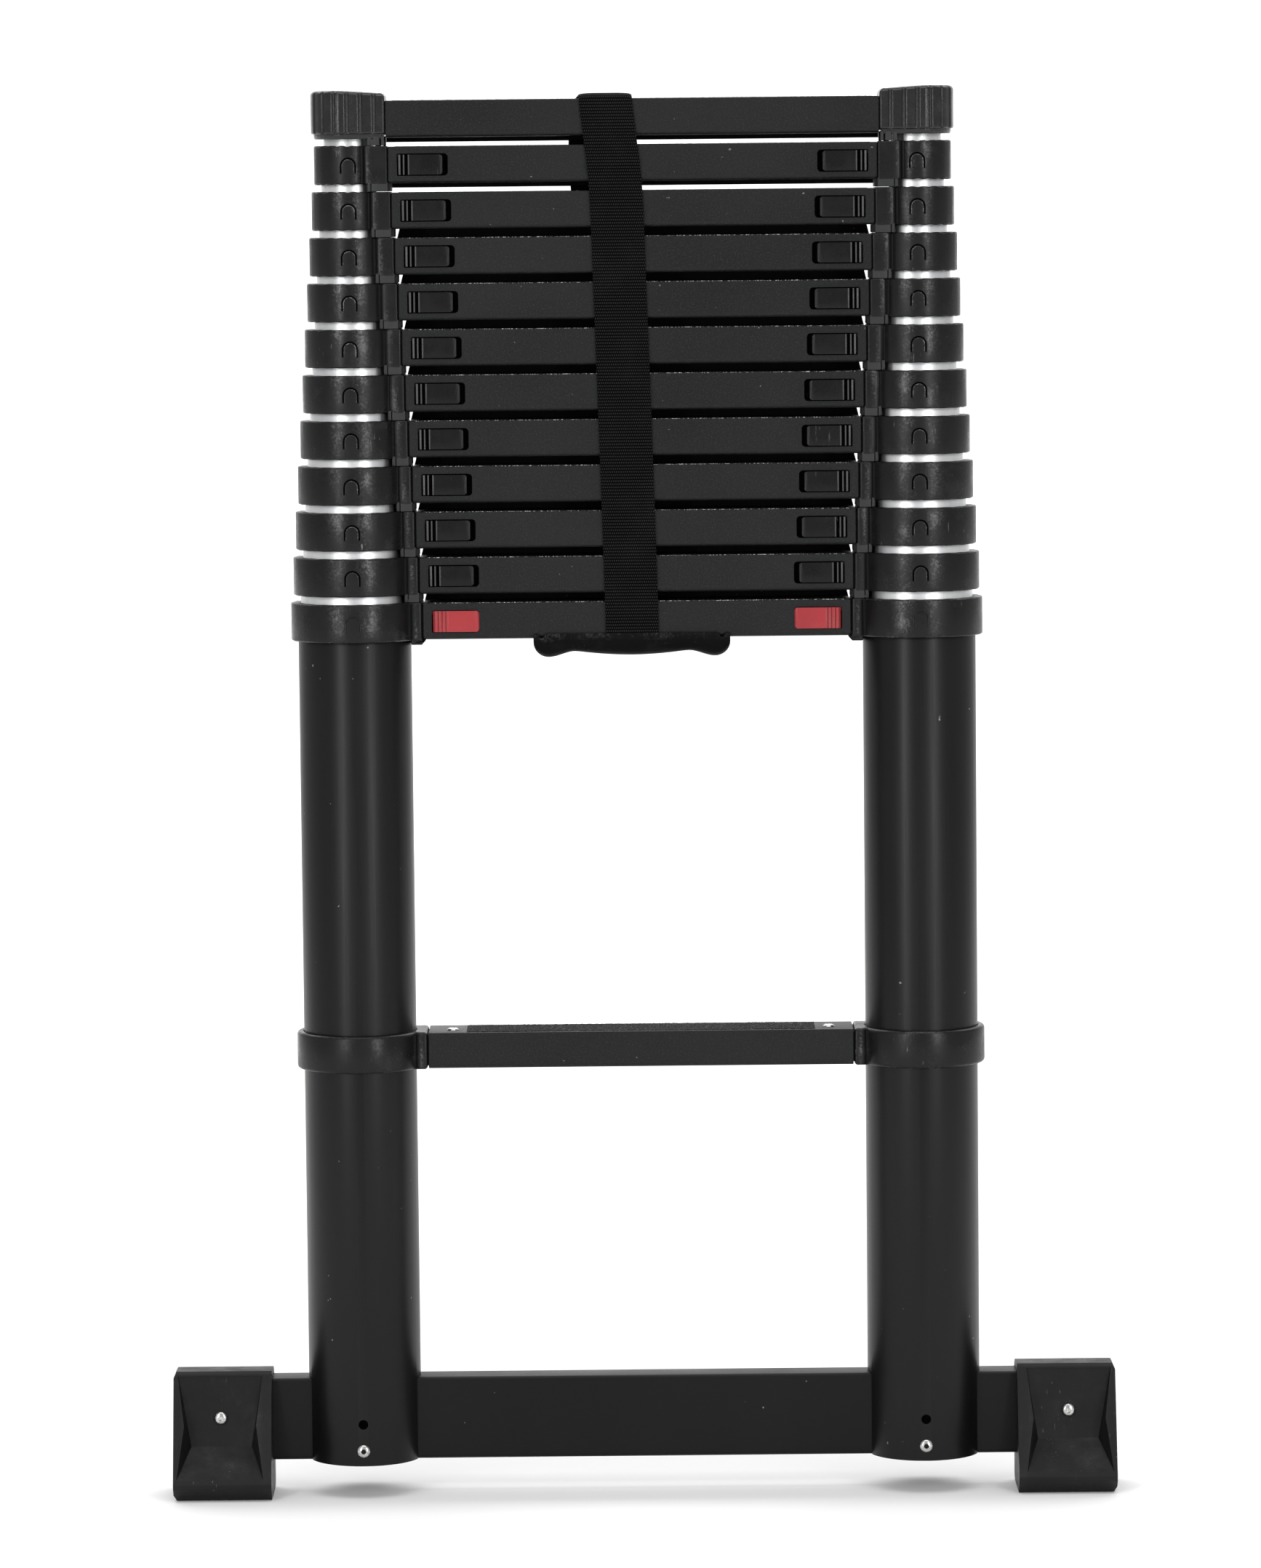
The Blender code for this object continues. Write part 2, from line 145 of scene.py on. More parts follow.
def mix_colour(tree, fac, a, b):
    node = tree.nodes.new("ShaderNodeMix")
    node.data_type = "RGBA"
    for socket, value in ((node.inputs[6], a), (node.inputs[7], b)):
        if isinstance(value, (tuple, list)):
            socket.default_value = (*value, 1)
        else:
            tree.links.new(value, socket)
    tree.links.new(fac, node.inputs[0])
    return node.outputs[2]


def math_node(tree, op, a, b=None, c=None):
    node = tree.nodes.new("ShaderNodeMath")
    node.operation = op
    for i, v in enumerate((a, b, c)):
        if v is None:
            continue
        if isinstance(v, (int, float)):
            node.inputs[i].default_value = v
        else:
            tree.links.new(v, node.inputs[i])
    return node.outputs[0]


def bump(tree, shader, height, strength, distance=0.0004, chain=None):
    node = tree.nodes.new("ShaderNodeBump")
    node.inputs["Strength"].default_value = strength
    node.inputs["Distance"].default_value = distance
    tree.links.new(height, node.inputs["Height"])
    if chain is not None:
        tree.links.new(chain, node.inputs["Normal"])
    tree.links.new(node.outputs["Normal"], shader.inputs["Normal"])
    return node.outputs["Normal"]


def powder_coat(name, colour, rough, speck=0.5, spec=0.4):
    """Fine-textured powder coat on an extrusion: orange peel, pale specks, slow tone drift."""
    m, t, sh = new_material(name, colour, rough, spec=spec)
    v = coords(t)
    fine = noise(t, v, 950, 3, 0.65)
    peel = noise(t, v, 420, 2, 0.5)
    drift = noise(t, v, 9, 3, 0.5)
    tone = mix_colour(t, remap(t, drift, 0.35, 0.65, 0, 1), tuple(c * 0.86 for c in colour), tuple(c * 1.16 for c in colour))
    grains = remap(t, fine, 0.52, 0.68, 0, speck)
    grain_tone = mix_colour(t, grains, tone, tuple(min(1, c * 3.4) for c in colour))
    dust = noise(t, v, 260, 2, 0.4)
    dust_tone = mix_colour(t, remap(t, dust, 0.785, 0.81, 0, 0.45), grain_tone, (0.30, 0.30, 0.30))
    t.links.new(dust_tone, sh.inputs["Base Color"])
    t.links.new(remap(t, math_node(t, "ADD", fine, drift), 0.7, 1.3, rough - 0.10, rough + 0.10), sh.inputs["Roughness"])
    first = bump(t, sh, peel, 0.25, 0.00025)
    bump(t, sh, fine, 0.6, 0.00018, first)
    return m


def moulded(name, colour, rough, scuffs=0.6, grain=0.25, spec=0.5, fine_scale=700, broken=1.0):
    """Injection-moulded plastic: spark-eroded grain, rubbed patches, thin pale scuffs; a per-vertex attribute adds worn
    spots and painted highlights where it is positive, and painted shade where it is negative.
    """
    m, t, sh = new_material(name, colour, rough, spec=spec)
    v = coords(t)
    patches = noise(t, v, 55, 4, 0.62)
    fine = noise(t, v, fine_scale, 3, 0.55)
    drift = noise(t, v, 14, 2, 0.5)
    tone = mix_colour(t, remap(t, drift, 0.3, 0.7, 0, 1), tuple(c * 0.85 for c in colour), tuple(min(1, c * 1.18) for c in colour))
    rub = remap(t, patches, 0.55, 0.74, 0, 1, smooth=True)
    tone = mix_colour(t, math_node(t, "MULTIPLY", rub, 0.35 * scuffs), tone, tuple(min(1, c * 2.6 + 0.012) for c in colour))
    att = t.nodes.new("ShaderNodeAttribute")
    att.attribute_name = "wear_and_painted_light"
    crumble = noise(t, v, 620, 4, 0.75)
    # positive attribute values: rubbed wear together with painted highlights, broken up by the crumble noise
    wear_and_highlight_band = math_node(t, "MULTIPLY", att.outputs["Fac"], remap(t, math_node(t, "ADD", crumble, math_node(t, "MULTIPLY", patches, 0.8)), 0.90, 1.10, 1 - 0.95 * broken, 1))
    tone = mix_colour(t, math_node(t, "MULTIPLY", wear_and_highlight_band, 0.8), tone, (0.15, 0.15, 0.152))
    # negative attribute values: painted shade, the colour taken to near black and the reflection turned almost off
    tone = mix_colour(t, remap(t, att.outputs["Fac"], -1, 0, 0.85, 0), tone, (0.0004, 0.0004, 0.0004))
    t.links.new(remap(t, att.outputs["Fac"], -1, 0, 0.01, spec), sh.inputs["Specular IOR Level"])
    vs = coords(t, (1, 1, 0.13))
    thin = noise(t, vs, 900, 2, 0.4)
    mask = noise(t, v, 30, 2, 0.5)
    scratch = math_node(t, "MULTIPLY", remap(t, thin, 0.70, 0.76, 0, 1), remap(t, mask, 0.56, 0.66, 0, 1))
    tone = mix_colour(t, math_node(t, "MULTIPLY", scratch, 0.45 * scuffs), tone, (0.28, 0.28, 0.28))
    t.links.new(tone, sh.inputs["Base Color"])
    r = remap(t, patches, 0.3, 0.75, rough + 0.10, rough - 0.12)
    t.links.new(math_node(t, "ADD", r, remap(t, fine, 0.3, 0.7, -0.05, 0.05)), sh.inputs["Roughness"])
    first = bump(t, sh, patches, 0.10, 0.0006)
    bump(t, sh, fine, grain, 0.00015, first)
    return m


def satin_tube(name, colour, rough, spec=0.5):
    """Black painted round tube: faint drawing lines along it, fine peel, a few dust specks."""
    m, t, sh = new_material(name, colour, rough, spec=spec)
    v = coords(t)
    lines = noise(t, coords(t, (1, 1, 0.012)), 900, 3, 0.6)
    fine = noise(t, v, 1300, 3, 0.6)
    drift = noise(t, coords(t, (1, 1, 0.25)), 18, 3, 0.5)
    tone = mix_colour(t, remap(t, drift, 0.3, 0.7, 0, 1), tuple(c * 0.86 for c in colour), tuple(c * 1.2 for c in colour))
    tone = mix_colour(t, remap(t, fine, 0.6, 0.76, 0, 0.5), tone, tuple(c * 2.2 for c in colour))
    specks = noise(t, v, 240, 2, 0.4)
    tone = mix_colour(t, remap(t, specks, 0.775, 0.80, 0, 0.6), tone, (0.30, 0.30, 0.30))
    t.links.new(tone, sh.inputs["Base Color"])
    t.links.new(remap(t, math_node(t, "ADD", lines, drift), 0.6, 1.4, rough - 0.07, rough + 0.08), sh.inputs["Roughness"])
    first = bump(t, sh, lines, 0.05, 0.0002)
    bump(t, sh, fine, 0.22, 0.00010, first)
    return m


def drawn_aluminium(name):
    """Bright drawn tube: metal, long fine lines, a little cloudy oxide."""
    m, t, sh = new_material(name, (0.80, 0.81, 0.82), 0.38, metallic=1.0)
    v = coords(t)
    lines = noise(t, coords(t, (1, 1, 0.006)), 1600, 4, 0.65)
    cloud = noise(t, v, 60, 3, 0.5)
    tone = mix_colour(t, remap(t, cloud, 0.35, 0.7, 0, 1), (0.86, 0.865, 0.87), (0.68, 0.69, 0.70))
    tone = mix_colour(t, remap(t, lines, 0.60, 0.74, 0, 0.5), tone, (0.50, 0.50, 0.51))
    t.links.new(tone, sh.inputs["Base Color"])
    t.links.new(remap(t, lines, 0.3, 0.7, 0.32, 0.46), sh.inputs["Roughness"])
    bump(t, sh, lines, 0.10, 0.0002)
    return m


def bright_steel(name):
    m, t, sh = new_material(name, (0.74, 0.74, 0.73), 0.22, metallic=1.0)
    v = coords(t)
    f = noise(t, v, 900, 3, 0.6)
    t.links.new(mix_colour(t, remap(t, f, 0.4, 0.7, 0, 1), (0.60, 0.60, 0.59), (0.34, 0.34, 0.33)), sh.inputs["Base Color"])
    t.links.new(remap(t, f, 0.3, 0.7, 0.15, 0.32), sh.inputs["Roughness"])
    bump(t, sh, f, 0.08, 0.0001)
    return m


def grit(name, rarity=0.72, spark=(0.75, 0.75, 0.73), spec=0.5):
    """Anti-slip strip: bonded mineral grains, some of which take the spark colour; with a pale spark colour these are
    painted glints.
    """
    m, t, sh = new_material(name, (0.03, 0.03, 0.03), 0.6, spec=spec)
    v = coords(t)
    cells = n(t, "ShaderNodeTexVoronoi")
    cells.inputs["Scale"].default_value = 1900
    t.links.new(v, cells.inputs["Vector"])
    lum = t.nodes.new("ShaderNodeSeparateColor")
    t.links.new(cells.outputs["Color"], lum.inputs["Color"])
    glint = remap(t, lum.outputs["Red"], rarity, rarity + 0.05, 0, 1)
    tone = mix_colour(t, lum.outputs["Green"], (0.003, 0.003, 0.003), (0.020, 0.020, 0.021))
    t.links.new(mix_colour(t, glint, tone, spark), sh.inputs["Base Color"])
    t.links.new(remap(t, glint, 0, 1, 0.75, 0.25), sh.inputs["Roughness"])
    bump(t, sh, cells.outputs["Distance"], 0.9, 0.0005)
    return m


def webbing(name):
    """Woven polyester: rounded weft ribs crossed by warp ends, matte with a little sheen."""
    m, t, sh = new_material(name, (0.010, 0.010, 0.010), 0.82, spec=0.04)
    sh.inputs["Sheen Weight"].default_value = 0.02
    sh.inputs["Sheen Roughness"].default_value = 0.5
    sh.inputs["Sheen Tint"].default_value = (0.45, 0.45, 0.47, 1)
    uv = t.nodes.new("ShaderNodeUVMap")
    uv.uv_map = "cloth"
    split = t.nodes.new("ShaderNodeSeparateXYZ")
    t.links.new(uv.outputs["UV"], split.inputs["Vector"])
    # u and v are in metres along the width and the length
    row = math_node(t, "FRACT", math_node(t, "MULTIPLY", split.outputs["Y"], 1 / 0.00205))
    odd = math_node(t, "FRACT", math_node(t, "MULTIPLY", split.outputs["Y"], 0.5 / 0.00205))
    odd = math_node(t, "GREATER_THAN", odd, 0.5)
    shift = math_node(t, "MULTIPLY", odd, 0.5)
    end = math_node(t, "FRACT", math_node(t, "ADD", math_node(t, "MULTIPLY", split.outputs["X"], 1 / 0.00145), shift))
    bulge_r = math_node(t, "SINE", math_node(t, "MULTIPLY", row, pi))
    bulge_e = math_node(t, "SINE", math_node(t, "MULTIPLY", end, pi))
    knot = math_node(t, "MULTIPLY", math_node(t, "POWER", bulge_r, 1.6), math_node(t, "POWER", bulge_e, 1.2))
    fuzz = noise(t, coords(t), 2600, 3, 0.6)
    # the tone follows the weave's height: painted shade down in the hollows, the knot tops lighter as painted highlight
    tone = mix_colour(t, remap(t, knot, 0.15, 0.95, 0, 1), (0.0002, 0.0002, 0.0002), (0.0200, 0.0200, 0.0204))
    wear_and_painted_light = noise(t, coords(t), 38, 3, 0.55)
    tone = mix_colour(t, math_node(t, "MULTIPLY", remap(t, wear_and_painted_light, 0.45, 0.75, 0, 0.6), knot), tone, (0.022, 0.022, 0.0225))
    t.links.new(tone, sh.inputs["Base Color"])
    t.links.new(remap(t, fuzz, 0.3, 0.7, 0.72, 0.95), sh.inputs["Roughness"])
    first = bump(t, sh, knot, 0.85, 0.0005)
    bump(t, sh, fuzz, 0.3, 0.0001, first)
    return m


M_RUNG = powder_coat("powder_coat_charcoal", (0.0056, 0.0059, 0.0064), 0.45, speck=0.85, spec=0.21)
M_LIP = powder_coat("powder_coat_lip", (0.0030, 0.0030, 0.0032), 0.60, spec=0.12)
M_COLLAR = moulded("nylon_collar", (0.0038, 0.0039, 0.0042), 0.32, scuffs=1.1, spec=0.23)
M_CAP = moulded("nylon_cap", (0.0055, 0.0056, 0.0058), 0.24, scuffs=1.3, grain=0.4, spec=0.42)
M_SPACER = moulded("nylon_spacer", (0.0200, 0.0205, 0.0212), 0.50, scuffs=0.3, spec=0.3)
M_LATCH = moulded("latch_black", (0.0028, 0.0028, 0.0030), 0.30, scuffs=0.4, grain=0.18, spec=0.21, broken=0.3)
M_RED = moulded("latch_red", (0.300, 0.026, 0.031), 0.36, scuffs=0.10, grain=0.15, spec=0.30)
M_HANDLE = moulded("handle_nylon", (0.0020, 0.0020, 0.0022), 0.48, scuffs=0.6, grain=0.3, spec=0.05)
M_SHOE = moulded("shoe_plastic", (0.0052, 0.0053, 0.0053), 0.48, scuffs=0.9, grain=0.3, spec=0.22)
M_TUBE = satin_tube("black_satin_tube", (0.0034, 0.0035, 0.0037), 0.34, spec=0.22)
M_BAR = satin_tube("black_bar", (0.0032, 0.0033, 0.0034), 0.42, spec=0.17)
M_ALU = drawn_aluminium("drawn_aluminium")
M_STEEL = bright_steel("bright_steel")
# pale grains as painted glints, used for the front row of the lower strips as a painted highlight along their lit front
# edge
M_GRIT_PAINTED_GLINT = grit("grit_strip")
M_GRIT_WORN = grit("grit_strip_worn", 0.95, (0.16, 0.16, 0.157), 0.08)
M_WEB = webbing("polyester_webbing")


# ------------------------------------------------------------ mesh helpers
def tidy(mesh, angle=32):
    b = bmesh.new()
    b.from_mesh(mesh)
    bmesh.ops.remove_doubles(b, verts=b.verts, dist=2e-6)
    bmesh.ops.dissolve_degenerate(b, dist=2e-6, edges=b.edges)
    bmesh.ops.recalc_face_normals(b, faces=b.faces)
    b.to_mesh(mesh)
    b.free()
    mesh.shade_smooth()
    mesh.set_sharp_from_angle(angle=radians(angle))


def make(name, verts, faces, mat, angle=32, clean=True):
    mesh = bpy.data.meshes.new(name)
    mesh.from_pydata([(x * MM, y * MM, z * MM) for x, y, z in verts], [], faces)
    mesh.materials.append(mat)
    if clean:
        tidy(mesh, angle)
    obj = bpy.data.objects.new(name, mesh)
    bpy.context.scene.collection.objects.link(obj)
    return obj


def fit_out(obj, body, slot=None, *nodes):
    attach(obj, body)
    if nodes:
        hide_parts(*nodes)
    return obj


def fillet(points, radii, seg=4):
    """A closed outline with its corners rounded; radii is one number or one per corner."""
    out, count = [], len(points)
    for i, p in enumerate(points):
        r = radii[i] if isinstance(radii, (list, tuple)) else radii
        p = Vector(p)
        a, b = Vector(points[i - 1]) - p, Vector(points[(i + 1) % count]) - p
        if r <= 0 or a.length < 1e-9 or b.length < 1e-9:
            out.append(tuple(p))
            continue
        half = a.angle(b) / 2
        if half > pi / 2 - 0.02:
            out.append(tuple(p))
            continue
        t = min(r / tan(half), a.length * 0.49, b.length * 0.49)
        r = t * tan(half)
        a.normalize(), b.normalize()
        c = p + (a + b).normalized() * (r / sin(half))
        p0, p1 = p + a * t, p + b * t
        v0, v1 = p0 - c, p1 - c
        a0, a1 = atan2(v0.y, v0.x), atan2(v1.y, v1.x)
        d = (a1 - a0 + pi) % (2 * pi) - pi
        for k in range(seg + 1):
            g = a0 + d * k / seg
            out.append((c.x + r * cos(g), c.y + r * sin(g)))
    return out


def area2(points):
    return sum(p[0] * q[1] - q[0] * p[1] for p, q in zip(points, points[1:] + points[:1])) / 2


def offset(points, by):
    """The outline moved inwards by the given distance along its corner normals (outline runs counter-clockwise)."""
    p = np.array(points, float)
    e = np.roll(p, -1, 0) - p
    e /= np.maximum(np.linalg.norm(e, axis=1, keepdims=True), 1e-9)
    nrm = np.stack([-e[:, 1], e[:, 0]], 1)
    m = nrm + np.roll(nrm, 1, 0)
    m /= np.maximum(np.linalg.norm(m, axis=1, keepdims=True), 1e-9)
    scale = 1 / np.maximum((m * nrm).sum(1, keepdims=True), 0.5)
    return [tuple(q) for q in p + m * scale * by]


def prism(name, points, lo, hi, axis, mat, edge=0.0, seg=3, angle=32, edge_hi=None):
    """A closed outline swept from lo to hi along an axis, with rounded rims and closed ends.
    The outline's two numbers are the other two axes in X, Y, Z order."""
    if area2(points) < 0:
        points = points[::-1]
    edge_hi = edge if edge_hi is None else edge_hi
    rings = []
    for k in range(seg + 1 if edge else 1):
        g = pi / 2 * k / seg if edge else pi / 2
        rings.append((edge * (1 - sin(g)), lo + edge * (1 - cos(g)) if edge else lo))
    for k in range(seg + 1 if edge_hi else 1):
        g = pi / 2 * (1 - k / seg) if edge_hi else pi / 2
        rings.append((edge_hi * (1 - sin(g)), hi - edge_hi * (1 - cos(g)) if edge_hi else hi))
    count, verts, faces = len(points), [], []
    for inset, level in rings:
        for a, b in (offset(points, inset) if inset > 1e-9 else points):
            verts.append({"x": (level, a, b), "y": (a, level, b), "z": (a, b, level)}[axis])
    for r in range(len(rings) - 1):
        for i in range(count):
            j = (i + 1) % count
            faces.append((r * count + i, r * count + j, (r + 1) * count + j, (r + 1) * count + i))
    faces.append(tuple(range(count))[::-1])
    faces.append(tuple((len(rings) - 1) * count + i for i in range(count)))
    return make(name, verts, faces, mat, angle)


def lathe(name, profile, cx, cy, mat, seg=96, axis="z", angle=32):
    """A closed (radius, height) outline turned about an axis; radius 0 points are merged."""
    verts, faces, count = [], [], len(profile)
    for i in range(seg):
        g = 2 * pi * i / seg
        for r, h in profile:
            if axis == "z":
                verts.append((cx + r * cos(g), cy + r * sin(g), h))
            else:                                        # about Y: cx, cy are x and z, h is y
                verts.append((cx + r * cos(g), h, cy + r * sin(g)))
    for i in range(seg):
        j = (i + 1) % seg
        for k in range(count):
            m = (k + 1) % count
            faces.append((i * count + k, j * count + k, j * count + m, i * count + m))
    return make(name, verts, faces, mat, angle)


def carve(obj, cutters, operation="DIFFERENCE", angle=32, bevel=0.0):
    """Cuts the given helper meshes from obj, and leaves a plain mesh."""
    for c in cutters:
        m = obj.modifiers.new("cut", "BOOLEAN")
        m.operation, m.solver, m.object = operation, "EXACT", c
    if bevel:
        b = obj.modifiers.new("rim", "BEVEL")
        b.width, b.segments, b.limit_method, b.angle_limit = bevel * MM, 2, "ANGLE", radians(35)
    graph = bpy.context.evaluated_depsgraph_get()
    mesh = bpy.data.meshes.new_from_object(obj.evaluated_get(graph))
    obj.modifiers.clear()
    old, obj.data = obj.data, mesh
    bpy.data.meshes.remove(old)
    for c in cutters:
        data = c.data
        bpy.data.objects.remove(c)
        bpy.data.meshes.remove(data)
    while len(mesh.materials) > 1:
        mesh.materials.pop()
    for p in mesh.polygons:
        p.material_index = 0
    tidy(mesh, angle)
    return obj


def join(name, parts):
    """Several meshes that are one physical piece, as one object."""
    b = bmesh.new()
    for p in parts:
        b.from_mesh(p.data)
    mesh = bpy.data.meshes.new(name)
    b.to_mesh(mesh)
    b.free()
    for m in parts[0].data.materials:
        mesh.materials.append(m)
    mesh.shade_smooth()
    mesh.set_sharp_from_angle(angle=radians(32))
    obj = bpy.data.objects.new(name, mesh)
    bpy.context.scene.collection.objects.link(obj)
    for p in parts:
        data = p.data
        bpy.data.objects.remove(p)
        bpy.data.meshes.remove(data)
    return obj


def rounded_box(name, x, y, z, r, mat, seg=3):
    """A box with every edge rounded."""
    b = bmesh.new()
    bmesh.ops.create_cube(b, size=1.0)
    for v in b.verts:
        v.co = ((min(x) + (v.co.x + 0.5) * (max(x) - min(x))) * MM,
                (min(y) + (v.co.y + 0.5) * (max(y) - min(y))) * MM,
                (min(z) + (v.co.z + 0.5) * (max(z) - min(z))) * MM)
    bmesh.ops.bevel(b, geom=b.edges[:], offset=r * MM, segments=seg, profile=0.5, affect="EDGES")
    mesh = bpy.data.meshes.new(name)
    b.to_mesh(mesh)
    b.free()
    mesh.materials.append(mat)
    tidy(mesh)
    obj = bpy.data.objects.new(name, mesh)
    bpy.context.scene.collection.objects.link(obj)
    return obj


# ------------------------------------------------------------ collars
def smooth_outline(raw, sigma, keep):
    """A dense copy of a closed outline, softened over sigma mm, thinned to where it bends."""
    p = np.array(raw, float)
    q = np.vstack([p, p[:1]])
    seg = np.linalg.norm(np.diff(q, axis=0), axis=1)
    s = np.concatenate([[0], np.cumsum(seg)])
    count = int(s[-1] / 0.25)
    t = np.linspace(0, s[-1], count, endpoint=False)
    d = np.stack([np.interp(t, s, q[:, 0]), np.interp(t, s, q[:, 1])], 1)
    k = np.fft.rfftfreq(count, d=s[-1] / count)
    g = np.exp(-2 * (pi * k * sigma) ** 2)
    d = np.stack([np.fft.irfft(np.fft.rfft(d[:, i]) * g, count) for i in (0, 1)], 1)
    e = np.roll(d, -1, 0) - d
    ang = np.unwrap(np.arctan2(e[:, 1], e[:, 0]))
    turn = np.abs(np.diff(np.concatenate([[ang[-1] - 2 * pi * np.sign(ang[-1] - ang[0])], ang])))
    weight = np.cumsum(turn + 2.2 * 2 * pi / count)
    marks = np.linspace(weight[0], weight[-1], keep, endpoint=False)
    idx = sorted(set(np.searchsorted(weight, marks).tolist()))
    return [tuple(d[i % count]) for i in idx]


def collar_plan(r, block_d, seam_u, keep=170):
    """Plan of a collar about its tube's axis: u towards the ladder's middle, v towards the back.
    A round band runs into a flat-faced block, with a shallow valley between."""
    meet = sqrt(max(r * r - block_d ** 2, 1.0))
    flat = min(meet + 4.9 - 0.035 * (r - 21), seam_u - 4)
    dip, sigma = (2.1 - 0.055 * (r - 21), 0.75 + 0.045 * (r - 21))
    last = max(meet - 1.8, 2.0)
    start = atan2(sqrt(r * r - last ** 2), last)
    ramp = [(meet + 0.5 + (flat - meet - 0.5) * f, block_d - dip * (1 - f) ** 2) for f in np.linspace(1, 0, 7)]
    side = [(r * cos(g), r * sin(g)) for g in np.linspace(start, pi, 60)]
    upper = [(seam_u, 0), (seam_u, block_d)] + ramp + side
    lower = [(u, -v) for u, v in upper[::-1]][1:-1]
    return smooth_outline(upper + lower, sigma, keep)


def ring_solid(name, outer_rings, bore_rings, k, cx, mat, angle=32):
    """Loops from the outside top down to the bottom and back up the bore, closed on themselves.
    Each ring is (outline in u and v, z); u runs towards the ladder's middle."""
    verts, faces, rings = [], [], outer_rings + bore_rings
    count = len(rings[0][0])
    for pts, z in rings:
        for u, v in pts:
            zz = z(u, v) if callable(z) else z
            verts.append((cx - k * u, v, zz))
    for r in range(len(rings)):
        q = (r + 1) % len(rings)
        for i in range(count):
            j = (i + 1) % count
            faces.append((r * count + i, r * count + j, q * count + j, q * count + i))
    return make(name, verts, faces, mat, angle)


def collar(name, s, k, z, bore_low, bore_lip, lip_from, mat, edge=1.0, height=COLLAR_H, r=None, mark=True):
    """One collar; bore_low is its bore round its own tube, bore_lip the bore above lip_from."""
    r = radius(s) + COLLAR_T if r is None else r
    seam_u = radius(s) + BLOCK - 0.55
    plan = collar_plan(r, 21.3, seam_u)
    if area2(plan) < 0:
        plan = plan[::-1]
    top, bottom = z + height / 2, z - height / 2
    meet = sqrt(max(r * r - 21.3 ** 2, 1.0))

    def rim(level, sign):
        """The rims of the marked collars rise and fall gently, eighteen times round."""
        if not mark:
            return level
        swing = 0.09 + 0.25 * max(0.0, (s - 6) / 5)
        return lambda u, v: level - sign * swing * cos(18 * atan2(u, abs(v))) * max(0.0, min(1.0, (meet - 1 - u) / 5))

    def bore(rad):
        return [(rad * u / hypot(u, v), rad * v / hypot(u, v)) for u, v in plan]

    outer = []
    for g in np.linspace(0, pi / 2, 4):
        outer.append((offset(plan, edge * (1 - sin(g))), rim(top - edge * (1 - cos(g)), 1)))
    for g in np.linspace(pi / 2, 0, 4):
        outer.append((offset(plan, edge * (1 - sin(g))), rim(bottom + edge * (1 - cos(g)), -1)))
    inner = [(bore(bore_low + 0.5), rim(bottom, -1)), (bore(bore_low), rim(bottom + 0.5, -1))]
    if lip_from is None:
        inner += [(bore(bore_low), top - 0.5), (bore(bore_low + 0.5), top)]
    else:
        inner += [(bore(bore_low), z + lip_from), (bore(bore_lip), z + lip_from + 0.01), (bore(bore_lip), rim(top - 0.6, 1)), (bore(bore_lip + 0.6), rim(top, 1))]
    obj = ring_solid(name, outer, inner, k, k * AX, mat)
    tail = 0
    if mark:
        # the moulded tab's outline, an upside-down U pressed into the front, with a fine bead inside it
        def swept(w, leg, top_z, rr, lift):
            path = [(-w, top_z - w + h) for h in np.linspace(-leg, 0, 5)]
            path += [(w * cos(g), top_z - w + w * sin(g)) for g in np.linspace(pi, 0, 13)[1:-1]]
            path += [(w, top_z - w + h) for h in np.linspace(0, -leg, 5)]
            verts, faces, m = [], [], 8
            for i, (a, zz) in enumerate(path):
                p0, p1 = path[max(i - 1, 0)], path[min(i + 1, len(path) - 1)]
                tv = Vector((p1[0] - p0[0], p1[1] - p0[1])).normalized()
                g = (a - k * 0.5) / r                        # the tab sits a little inboard
                nrm, along = Vector((sin(g), -cos(g))), Vector((cos(g), sin(g)))
                base = nrm * (r + lift)
                for q in range(m):
                    f = 2 * pi * q / m
                    side_a, side_n = rr * cos(f), rr * sin(f)
                    dx, dz = -tv.y * side_a, tv.x * side_a
                    verts.append((k * AX + base.x + along.x * dx + nrm.x * side_n, base.y + along.y * dx + nrm.y * side_n, zz + dz))
            for i in range(len(path) - 1):
                for q in range(m):
                    w2 = (q + 1) % m
                    faces.append((i * m + q, i * m + w2, (i + 1) * m + w2, (i + 1) * m + q))
            faces.append(tuple(range(m)))
            faces.append(tuple((len(path) - 1) * m + q for q in range(m))[::-1])
            return verts, faces

        carve(obj, [make(name + "_groove", *swept(4.9, 5.2, z + 4.6, 0.62, 0.0), mat)])
        if s > 1:
            bead = make(name + "_bead", *swept(4.0, 4.8, z + 3.7, 0.34, -0.20), mat)
            tail = len(bead.data.vertices)
            obj = join(name, [obj, bead])
    rub_marks_and_painted_light(obj, k * AX, k, r, z, meet + 4.6, height, 1.0 if mark else 0.25, tail)
    return obj


